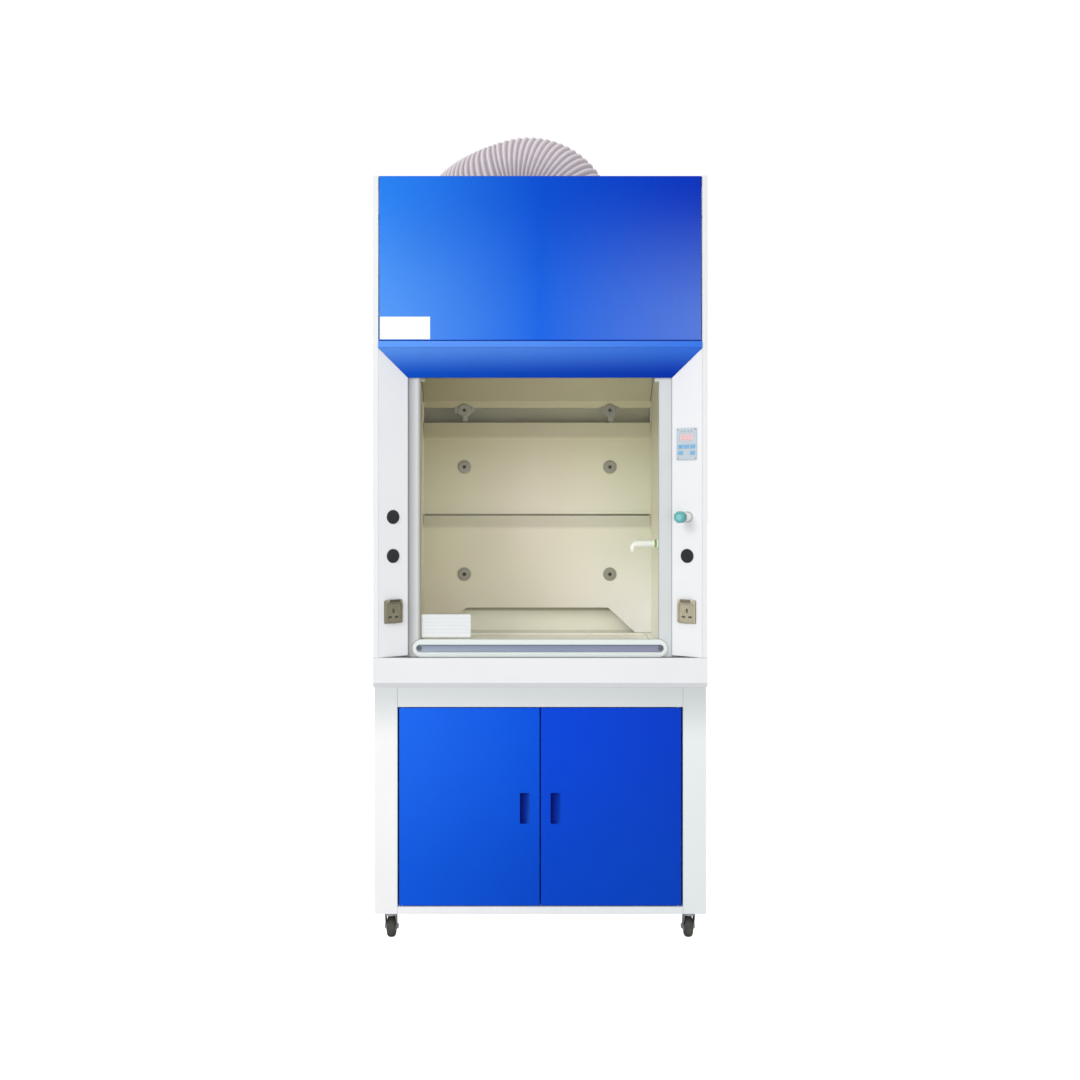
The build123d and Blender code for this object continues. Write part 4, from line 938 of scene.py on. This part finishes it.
# plates beside the handle: inner and outer x, front and back behind FRONT, bottom and top
FOOT_PLATES = [(0.3892, 0.4010, STRIP_FRONT, STRIP_BACK, 0.8580, 0.9127),
               (0.3560, 0.3896, 0.0862, 0.0871, 0.8575, 0.9120)]
ARC_X = 0.361               # centre and radius of the cut round the handle end
ARC_RADIUS = 0.0279
ARC_OUTER_X = 0.3893


def arc_corner(side, direction, reach):
    """Corner piece between the arc and its outer corner; direction is up 1 or down -1."""
    arc = []
    for degrees in range(0, 91, 10):
        angle = math.radians(degrees)
        arc.append((ARC_X + ARC_RADIUS * math.sin(angle),
                    HANDLE_Z + direction * ARC_RADIUS * math.cos(angle)))
    edge_z = HANDLE_Z + direction * reach
    outline = arc + [(ARC_OUTER_X, HANDLE_Z), (ARC_OUTER_X, edge_z), (ARC_X, edge_z)]
    points, faces = loft([[(side * x, FRONT + depth, z) for x, z in outline]
                          for depth in (STRIP_BACK, STRIP_FRONT)], "open")
    # a fan from the outer corner keeps the concave face clean
    count = len(outline)
    corner = count - 2
    for base in (0, count):
        for i in range(len(arc)):
            faces.append((base + i, base + i + 1, base + corner))
        faces.append((base + corner, base + count - 1, base))
    return points, faces


def build_stiles():
    """Strips on each stile, lapping over the track as far as the column."""
    for side, tag in SIDES:
        heights = [FACING_BOTTOM + (FACING_TOP - FACING_BOTTOM) * i / 12 for i in range(13)]
        rings = [[(side * x, FRONT + depth, z) for x, depth in FACING_SECTION]
                 for z in heights]
        build("stile_facing_" + tag, loft(rings), "anodised_frame", "sash")
        parts = []
        for inner, outer, front, back, bottom, top in FOOT_PLATES:
            centre = (side * (inner + outer) / 2, FRONT + back, (bottom + top) / 2)
            outline = rounded_rect(outer - inner, top - bottom, 0.0006, 2)
            parts.append(slab_mesh(outline, centre, back - front, 0.0002))
        parts.append(arc_corner(side, 1, 0.0287))
        parts.append(arc_corner(side, -1, 0.0262))
        build("stile_foot_" + tag, join(parts), "anodised_frame", "sash")
        screws("facing_screws_" + tag,
               [(side * 0.3945, FRONT + 0.0671, z) for z in (0.935, 1.722)],
               FORWARD, "anodised_frame", "sash", radius=0.0028, height=0.0009)


def build_handle():
    """Groove strip over the moulded one, end screws, and the seal below."""
    build("handle_strip",
          slab_mesh(rounded_rect(0.7505, 0.0218, 0.0108, 10), (0, FRONT + 0.06485, HANDLE_Z),
                    0.0009, 0.0004), "groove_strip", "sash")
    for side, tag in SIDES:
        screws("handle_screw_" + tag[0], [(side * 0.3665, FRONT + 0.0639, HANDLE_Z)],
               FORWARD, "screw_grey", "sash", radius=0.0072, height=0.0024)
    half_width, half_height = 0.366, 0.001
    outline = [(-half_width, -half_height), (half_width, -half_height),
               (half_width, half_height), (-half_width, half_height)]
    build("sash_seal", slab_mesh(outline, (0, FRONT + 0.0765, 0.856), 0.012),
          "hole_shade_and_seal_black", "sash")


# ------------------------------------------------------------------ door pulls
PULL_X = 0.046
PULL_Z = 0.4105
CUP_RIM_Y = FRONT + 0.0139
CUP_FLOOR_Y = FRONT + 0.0254
# from the cup's floor out over the rim and back behind it:
# width, height, corner radius, y, shift in x
CUP_RINGS = [
    (0.0180, 0.0840, 0.0020, CUP_FLOOR_Y, -0.0038),
    (0.0188, 0.0852, 0.0022, CUP_FLOOR_Y - 0.0008, -0.0036),
    (0.0280, 0.0908, 0.0024, CUP_RIM_Y + 0.0004, 0.0),
    (0.0288, 0.0918, 0.0024, CUP_RIM_Y, 0.0),
    (0.0296, 0.0926, 0.0024, CUP_RIM_Y + 0.0003, 0.0),
    (0.0296, 0.0926, 0.0024, CUP_RIM_Y + 0.0012, 0.0),
    (0.0196, 0.0862, 0.0024, CUP_FLOOR_Y + 0.0004, -0.0036),
]


def build_pulls():
    """Pressed cups, steep on their left and sloping out to the rim on their right."""
    for side, tag in SIDES:
        rings = []
        for width, height, radius, y, shift in CUP_RINGS:
            rings.append([(side * PULL_X + shift + px, y, PULL_Z + pz)
                          for px, pz in rounded_rect(width, height, radius, 4)])
        build("pull_cup_" + tag, loft(rings), "pull_cup_shade_" + tag, "door_" + tag)


# ------------------------------------------------------------------ baffle fixings
FIXING_XS = (-0.261, 0.261)
FIXING_ZS = (1.069, 1.4535, 1.657)


def build_fixings():
    places = [(x, z) for x in FIXING_XS for z in FIXING_ZS]
    dish = [(0, 0), (0.0062, 0), (0.0062, 0.0004), (0.0050, 0.0002), (0.0044, -0.0010),
            (0, -0.0012)]
    # dark dishes: painted shade in each fixing's centre hole
    parts = [lathe_mesh(dish, (x, FRONT + 0.66295, z), FORWARD, 32) for x, z in places]
    build("fixing_sockets", join(parts), "hole_shade_and_seal_black", "cabinet")
    screws("fixing_screws", [(x, FRONT + 0.6655, z) for x, z in places],
           FORWARD, "cast_grey", "cabinet", radius=0.0040, height=0.0016)
    # clip under each upper disc, hooked over the board's lower edge
    parts = []
    for x in FIXING_XS:
        parts.append(slab_mesh(rounded_rect(0.070, 0.026, 0.010, 5),
                               (x, FRONT + 0.6697, 1.6585), 0.0025, 0.0008))
        parts.append(slab_mesh(rounded_rect(0.020, 0.036, 0.005, 4),
                               (x + 0.004, FRONT + 0.6690, 1.6330), 0.0024, 0.0008))
    build("board_clips", join(parts), "fixing_grey", "cabinet")
    ring = [(0.0120, 0), (0.0128, 0.0008), (0.0142, 0.0008), (0.0150, 0), (0.0120, 0)]
    parts = [lathe_mesh(ring, (x, FRONT + 0.66305, z), FORWARD, 40) for x, z in places]
    build("fixing_rings", join(parts), "fixing_grey", "cabinet")


# ------------------------------------------------------------------ column fittings
# (radius, height) profiles
PLUG_CAP = [(0, 0.0), (0.0186, 0.0), (0.0186, 0.0003), (0.0150, 0.0009), (0.0, 0.0013)]
VALVE_INDEX = [(0, 0), (0.0105, 0), (0.0100, 0.0009), (0.006, 0.0016), (0, 0.0019)]
VALVE_RING = [(0.0128, 0), (0.0132, 0.0008), (0.0150, 0.0008), (0.0154, 0), (0.0128, 0)]
VALVE_COLLAR = [(0.0143, 0.0), (0.0162, 0.0), (0.0160, 0.0026), (0.0146, 0.0034),
                (0.0140, 0.003), (0.0143, 0.0)]
VALVE_NECK = [(0.0122, 0), (0.0132, 0.0006), (0.0132, 0.0024), (0.0121, 0.003), (0.0122, 0)]
SPOUT_INDEX = [(0.0111, 0), (0.0128, 0.0005), (0.0128, 0.0058), (0.0111, 0.0064), (0.0111, 0)]
# name, profile, distance off the column face, material, body
VALVE_PARTS = [
    ("valve_index", VALVE_INDEX, 0.0639, "teal_index", "valve_knob"),
    ("valve_ring", VALVE_RING, 0.0639, "teal_index", "valve_knob"),
    ("valve_collar", VALVE_COLLAR, 0.0042, "grey_track", "cabinet"),
    ("valve_neck_ring", VALVE_NECK, 0.036, "grey_track", "cabinet"),
]


def build_plugs_and_valve():
    for i, (side, z) in enumerate(((-1, VALVE_Z), (-1, PLUG_Z), (1, PLUG_Z))):
        build("plug_cap_%d" % i,
              lathe_mesh(PLUG_CAP, on_face(side, z, 0, 0.0034), face_normal(side)),
              "black_plastic", "cabinet")
    for name, profile, out, material, body in VALVE_PARTS:
        build(name, lathe_mesh(profile, on_face(1, VALVE_Z, VALVE_U, out), face_normal(1), 40),
              material, body)


def build_spout():
    """Index ring, and a barbed sleeve over the outlet."""
    build("spout_index",
          lathe_mesh(SPOUT_INDEX, (0.4035, SPOUT_Y, SPOUT_Z), (-1, 0, 0), 32),
          "index_green", "cabinet")
    profile = [(0.0084, 0.0)]
    for k in range(6):
        height = 0.0020 + 0.0117 * k
        grow = 0.0002 * k
        profile += [(0.0092 + grow, height), (0.0126 + grow, height + 0.0070),
                    (0.0128 + grow, height + 0.0082), (0.0092 + grow, height + 0.0092)]
    profile += [(0.0108, 0.0745), (0.0084, 0.0750), (0.0084, 0.0)]
    build("spout_barbs", lathe_mesh(profile, (0.3265, SPOUT_Y, SPOUT_Z), (1, 0, 0), 40),
          "white_plastic", "cabinet")


def build_baffle_beads():
    """Beads between the baffle boards and the chamber sides."""
    front, back = FRONT + 0.6703, FRONT + 0.6755
    for side, tag in SIDES:
        left, right = sorted((side * 0.4061, side * 0.4089))
        corners = ((left, front), (right, front), (right, back), (left, back))
        rings = [[(x, y, z) for x, y in corners] for z in (0.861, 1.6875)]
        build("baffle_bead_" + tag, loft(rings), "cream_liner", "cabinet")


# three openings in each socket, from its centre: u, z, contact width and height,
# shutter width and height
SOCKET_OPENINGS = [
    (0.0, 0.003, 0.0022, 0.0095, 0.0034, 0.0110),
    (-0.011, -0.016, 0.0078, 0.0022, 0.0090, 0.0034),
    (0.011, -0.016, 0.0078, 0.0022, 0.0090, 0.0034),
]


def build_sockets():
    for side, tag in SIDES:
        contacts, shutters = [], []
        for u, dz, width, height, shutter_width, shutter_height in SOCKET_OPENINGS:
            z = SOCKET_Z + dz
            # contacts deep in each opening, dark as painted shade in the hole
            contacts.append(face_slab(side, rounded_rect(width, height, 0.0004, 2),
                                      on_face(side, z, u, -0.0095), 0.002))
            # raised frame round the opening
            outer = rounded_rect(shutter_width + 0.0026, shutter_height + 0.0026, 0.0010, 2)
            inner = rounded_rect(shutter_width + 0.0002, shutter_height + 0.0002, 0.0004, 2)
            shutters.append(face_frame(side, z, u, 0.0021, outer, inner, 0.0006, 0.0006))
        build("socket_contacts_" + tag, join(contacts), "hole_shade_and_seal_black", "cabinet")
        build("socket_shutters_" + tag, join(shutters), "hinge_brown", "cabinet")
        # rim round the module
        outer = rounded_rect(0.0598, 0.0698, 0.004, 4)
        inner = rounded_rect(0.0572, 0.0672, 0.003, 4)
        build("socket_rim_" + tag,
              face_frame(side, SOCKET_Z, 0.0, 0.0002, outer, inner, 0.0022, 0.0026),
              "hinge_brown", "cabinet")
        # barrel sleeve over the flap's top edge
        path = [on_face(side, 1.032, -0.0163 + 0.0326 * i / 8, 0.0105) for i in range(9)]
        build("flap_barrel_" + tag, tube_mesh(path, 0.0041, 0.00365, 24),
              "hinge_brown", "socket_flap_" + tag)


# ------------------------------------------------------------------ control panel
# seven-segment digit, from its centre: u, z, width, height
SEGMENTS = {
    "a": (0.0, 0.00665, 0.0054, 0.0015),
    "b": (0.002945, 0.003325, 0.0015, 0.0056),
    "c": (0.002945, -0.003325, 0.0015, 0.0056),
    "d": (0.0, -0.00665, 0.0054, 0.0015),
    "e": (-0.002945, -0.003325, 0.0015, 0.0056),
    "f": (-0.002945, 0.003325, 0.0015, 0.0056),
    "g": (0.0, 0.0, 0.0054, 0.0015),
}
DIGITS = ("abcdef", "afgcd", "abcdef")      # lit segments: 0 5 0
DIGIT_PITCH = 0.012
SEGMENT_OUT = 0.0038
# key number: u, z from the panel centre
KEYS = {1: (-0.020, -0.008), 2: (0.0, -0.008), 3: (0.020, -0.008),
        4: (-0.020, -0.027), 5: (0.020, -0.027)}


def build_display():
    build("display_window",
          face_slab(1, rounded_rect(0.0456, 0.0216, 0.0014, 4),
                    on_face(1, DISPLAY_Z, 0, 0.00325), 0.0006, 0.0002),
          "display_window", "cabinet")
    parts = []
    for i, lit in enumerate(DIGITS):
        for letter in lit:
            u, dz, width, height = SEGMENTS[letter]
            place = on_face(1, DISPLAY_Z + dz, (i - 1) * DIGIT_PITCH + u, SEGMENT_OUT)
            parts.append(face_slab(1, rounded_rect(width, height, 0.0006, 2), place, 0.0003))
    # decimal point
    parts.append(face_slab(1, rounded_rect(0.0016, 0.0016, 0.0006, 3),
                           on_face(1, DISPLAY_Z - 0.0068, -0.006, SEGMENT_OUT), 0.0003))
    build("display_segments", join(parts), "segment_red", "cabinet")


def build_panel_details():
    """Indicator row, key marks and corner screws."""
    dome = [(0, 0), (0.0016, 0), (0.0014, 0.0006), (0, 0.0011)]
    parts = [lathe_mesh(dome, on_face(1, 1.5425, u, 0.0041), face_normal(1), 20)
             for u in (-0.016, -0.005, 0.006, 0.017)]
    build("indicator_lights", join(parts), "screw_grey", "cabinet")
    for number, (u, dz) in KEYS.items():
        centre = on_face(1, PANEL_Z + dz, u, 0.00555)
        parts = [face_slab(1, rounded_rect(0.0086, 0.0018, 0.0008, 3), centre, 0.0004, 0.0001)]
        if number == 1:
            # upright stroke makes a plus
            parts.append(face_slab(1, rounded_rect(0.0018, 0.0056, 0.0008, 3),
                                   centre + Vector((0, 0, 0.0001)), 0.0004, 0.0001))
        build("key_%d_mark" % number, join(parts), "key_mark", "button_%d" % number)
    screws("panel_screws",
           [on_face(1, PANEL_Z + dz, u, 0.0041)
            for u in (-0.0285, 0.0285) for dz in (-0.0435, 0.0435)],
           face_normal(1), "bright_zinc", "cabinet", radius=0.0022, height=0.0009)


# ------------------------------------------------------------------ casters
HUB = [(0.0052, 0.0001), (0.0052, 0.0007), (0.0090, 0.0007), (0.0100, 0.0004),
       (0.0140, 0.0004), (0.0155, 0.0008), (0.0172, 0.0008), (0.0176, 0.0001)]


def build_hubs():
    def dimple(i, radius, angle):
        return radius * (1 - 0.05 * max(0, math.cos(5 * angle))) if i in (3, 4) else radius

    for corner in ("fl", "fr", "rl", "rr"):
        low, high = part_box("caster_wheel_" + corner)
        centre = Vector([(low[axis] + high[axis]) / 2 for axis in range(3)])
        for side, tag in ((-1, "in"), (1, "out")):
            origin = centre + Vector((side * 0.01369, 0, 0))
            build("hub_%s_%s" % (corner, tag),
                  lathe_mesh(HUB, origin, (side, 0, 0), 40, dimple),
                  "grey_track", "wheel_" + corner)


# ------------------------------------------------------------------ casing screws
def casing_screws(name, places, normal, radius, height):
    screws(name, places, normal, "bright_zinc", "cabinet", radius, height)


def build_casing_screws():
    for side, tag in SIDES:
        casing_screws("side_screws_" + tag,
                      [(side * 0.5, y, z) for z in (0.80, 1.30, 1.80, 2.27)
                       for y in (FRONT + 0.03, FRONT + 0.77)],
                      (side, 0, 0), radius=0.0045, height=0.0018)
        casing_screws("base_screws_" + tag,
                      [(side * 0.497, y, z) for z in (0.115, 0.43, 0.745)
                       for y in (FRONT + 0.06, FRONT + 0.76)],
                      (side, 0, 0), radius=0.0040, height=0.0016)
    # round the hatch edge, none in its middle
    casing_screws("hatch_screws",
                  [(x, FRONT + 0.8015, z) for x in (-0.295, 0.0, 0.295)
                   for z in (1.055, 1.35, 1.645) if (x, z) != (0.0, 1.35)],
                  BACKWARD, radius=0.005, height=0.002)
    casing_screws("rear_screws",
                  [(side * 0.47, FRONT + 0.8, z) for side in (-1, 1)
                   for z in (0.80, 1.15, 1.5, 1.85, 2.2)],
                  BACKWARD, radius=0.0045, height=0.0018)
    casing_screws("base_rear_screws",
                  [(x, FRONT + 0.79, z) for x in (-0.47, 0, 0.47) for z in (0.10, 0.75)],
                  BACKWARD, radius=0.0045, height=0.0018)


# ------------------------------------------------------------------ services
def build_motor():
    fin = [(0.0655, 0), (0.0715, 0.0006), (0.0715, 0.0028), (0.0655, 0.0034), (0.0655, 0)]
    fins = [lathe_mesh(fin, (0.226 + 0.0095 * k, MOTOR_Y, MOTOR_Z), (1, 0, 0), 64)
            for k in range(9)]
    build("motor_fins", join(fins), "motor_enamel", "cabinet")
    build("motor_terminal_box",
          slab_mesh(rounded_rect(0.060, 0.050, 0.004), (0.268, MOTOR_Y, MOTOR_Z + 0.066),
                    0.030, 0.003, normal=UP, up=(1, 0, 0)), "motor_enamel", "cabinet")


def wire(name, stations, radius):
    """Smooth cable through its stations by Catmull-Rom, 16 steps between each two."""
    p = [Vector(station) for station in stations]
    p = [p[0] * 2 - p[1]] + p + [p[-1] * 2 - p[-2]]
    path = []
    for i in range(1, len(p) - 2):
        a, b, c, d = p[i - 1:i + 3]
        for k in range(16):
            t = k / 16
            path.append(0.5 * ((2 * b) + (c - a) * t + (2 * a - 5 * b + 4 * c - d) * t * t
                               + (3 * b - a - 3 * c + d) * t ** 3))
    path.append(p[-2])
    build(name, sweep_mesh(path, radius, 14), "cable_grey", "cabinet")


def build_wiring():
    """Leads from the motor and the lamp to the electrical box, with glands and box screws."""
    box_low, box_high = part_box("electrical_box")
    box_front = box_low[1]
    wire("motor_lead", [
        (0.30, MOTOR_Y - 0.02, MOTOR_Z + 0.088),
        (0.335, MOTOR_Y - 0.06, MOTOR_Z + 0.05),
        (0.34, MOTOR_Y - 0.12, ROOF_Z + 0.03),
        (0.27, FRONT + 0.30, ROOF_Z + 0.006),
        (0.0, FRONT + 0.27, ROOF_Z + 0.006),
        (-0.15, FRONT + 0.29, ROOF_Z + 0.012),
        (-0.213, FRONT + 0.31, ROOF_Z + 0.04),
    ], 0.0042)
    wire("lamp_lead", [
        (-0.30, box_front + 0.002, ROOF_Z + 0.03),
        (-0.30, box_front - 0.03, ROOF_Z + 0.02),
        (-0.295, box_front - 0.05, ROOF_Z + 0.006),
        (-0.29, FRONT + 0.18, ROOF_Z + 0.005),
    ], 0.0035)
    gland = [(0.0045, 0), (0.009, 0), (0.009, 0.006), (0.007, 0.008), (0.007, 0.014),
             (0.0045, 0.016), (0.0045, 0)]
    places = (((-0.2135, FRONT + 0.31, ROOF_Z + 0.04), (1, 0, 0)),
              ((-0.30, box_front + 0.0005, ROOF_Z + 0.03), FORWARD))
    for i, (origin, axis) in enumerate(places):
        build("gland_%d" % i, lathe_mesh(gland, origin, axis, 24), "black_plastic", "cabinet")
    inset = 0.012
    casing_screws("box_screws",
                  [(x, y, box_high[2]) for x in (box_low[0] + inset, box_high[0] - inset)
                   for y in (box_low[1] + inset, box_high[1] - inset)],
                  UP, radius=0.004, height=0.0016)
    casing_screws("plenum_screws",
                  [(-0.173, FRONT + y, ROOF_Z + 0.0023) for y in (0.40, 0.56, 0.72)],
                  UP, radius=0.004, height=0.0016)


def build_clamp_worms(duct_foot, duct_tail):
    """Worm screws of the two hose clamps."""
    clamp_reach = 0.134         # from the duct's centre line
    shift = 0.013               # to the right of it
    cuff_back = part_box("duct_cuff")[1][1]
    barrel = [(0, 0), (0.0045, 0), (0.0045, 0.008), (0, 0.008)]
    places = {
        "worm_fan": (duct_foot.x + shift, duct_foot.y - clamp_reach, duct_foot.z + 0.014),
        "worm_cuff": (duct_tail.x + shift, cuff_back - 0.060, duct_tail.z + clamp_reach),
    }
    for name, origin in places.items():
        build(name, lathe_mesh(barrel, origin, (1, 0, 0), 24), "bright_zinc", "cabinet")


# ------------------------------------------------------------------ floor, light, camera
def build_floor():
    """Matt floor that shows nearly white to the camera."""
    data = bpy.data.meshes.new("floor_plane")
    corners = [(-30, -30, 0), (30, -30, 0), (30, 60, 0), (-30, 60, 0)]
    data.from_pydata(corners, [], [(0, 1, 2, 3)])
    floor = bpy.data.objects.new("studio_floor", data)
    bpy.context.scene.collection.objects.link(floor)
    material, tree = new_material("studio_floor")
    cloud = noise(tree, coords(tree), 0.8, 2)
    seen = add(tree, "LightPath").outputs["Is Camera Ray"]
    connect(tree, principled(tree), {
        "Base Color": mix(tree, cloud, (0.62, 0.62, 0.62), (0.64, 0.64, 0.64)),
        "Roughness": 1.0,
        "Specular IOR Level": 0.0,
        "Emission Color": (1, 1, 1, 1),
        "Emission Strength": math_node(tree, "MULTIPLY", seen, 0.94),
    })
    data.materials.append(material)


def make_world():
    """White surround, brighter to the camera than as a light."""
    world = bpy.data.worlds.new("studio")
    bpy.context.scene.world = world
    world.use_nodes = True
    tree = world.node_tree
    tree.nodes.clear()
    lighting = add(tree, "Background", {0: (1, 1, 1, 1), 1: 0.73})
    backdrop = add(tree, "Background", {0: (1, 1, 1, 1), 1: 1.05})
    seen = add(tree, "LightPath").outputs["Is Camera Ray"]
    blend = add(tree, "MixShader", {0: seen, 1: lighting.outputs[0], 2: backdrop.outputs[0]})
    add(tree, "OutputWorld", {0: blend.outputs[0]})


def area_light(name, place, target, size, power, color=(1, 1, 1)):
    data = bpy.data.lights.new(name, "AREA")
    data.shape = "RECTANGLE"
    data.size, data.size_y = size
    data.energy = power
    data.color = color
    light = bpy.data.objects.new(name, data)
    bpy.context.scene.collection.objects.link(light)
    light.location = place
    aim = Vector(target) - Vector(place)
    light.rotation_euler = aim.to_track_quat("-Z", "Y").to_euler()
    light.visible_camera = False
    light.visible_glossy = False


def make_lights():
    area_light("key_soft", place=(-2.6, -3.9, 3.4), target=(0.0, 0, 1.2), size=(1.8, 1.8),
               power=80, color=(1.0, 0.99, 0.975))
    area_light("fill_soft", place=(3.0, -3.6, 1.4), target=(0.2, 0, 1.2), size=(2.0, 2.4),
               power=12, color=(0.97, 0.985, 1.0))
    area_light("low_front", place=(0.4, -3.6, 0.9), target=(0.1, 0.3, 1.0), size=(1.8, 1.4),
               power=18)
    # inside the chamber, then behind the baffle boards
    area_light("chamber_glow", place=(0.08, FRONT + 0.155, 1.27),
               target=(0.11, FRONT + 0.67, 1.33), size=(0.66, 0.56), power=1.36,
               color=(1.0, 1.0, 0.99))
    area_light("baffle_glow", place=(0.0, FRONT + 0.690, 1.10),
               target=(0.0, FRONT + 0.74, 1.10), size=(0.80, 0.42), power=0.10,
               color=(1.0, 0.99, 0.97))


def make_camera():
    data = bpy.data.cameras.new("camera")
    data.sensor_width = 36
    data.lens = 36.85
    data.shift_x = 0.0174
    data.shift_y = -0.037
    data.clip_end = 200
    camera = bpy.data.objects.new("camera", data)
    scene = bpy.context.scene
    scene.collection.objects.link(camera)
    camera.location = (-0.057, FRONT - 3.3, 1.335)
    camera.rotation_euler = (math.radians(90), 0, 0)
    scene.camera = camera
    scene.view_settings.view_transform = "Standard"
    scene.view_settings.look = "None"
    scene.view_settings.exposure = 0
    scene.view_settings.gamma = 1


# ------------------------------------------------------------------ assembly
make_paint()
make_cream()
make_chamber_parts()
make_metal_and_rubber()
make_fittings()
make_segment_red()
make_paper()
make_duct_membrane()
dress_frame()

duct_foot, duct_tail = build_duct()
build_cables()
build_labels()
build_stiles()
build_handle()
build_pulls()
build_fixings()
build_plugs_and_valve()
build_spout()
build_baffle_beads()
build_sockets()
build_display()
build_panel_details()
build_hubs()
build_casing_screws()
build_motor()
build_wiring()
build_clamp_worms(duct_foot, duct_tail)

build_floor()
make_world()
make_lights()
make_camera()
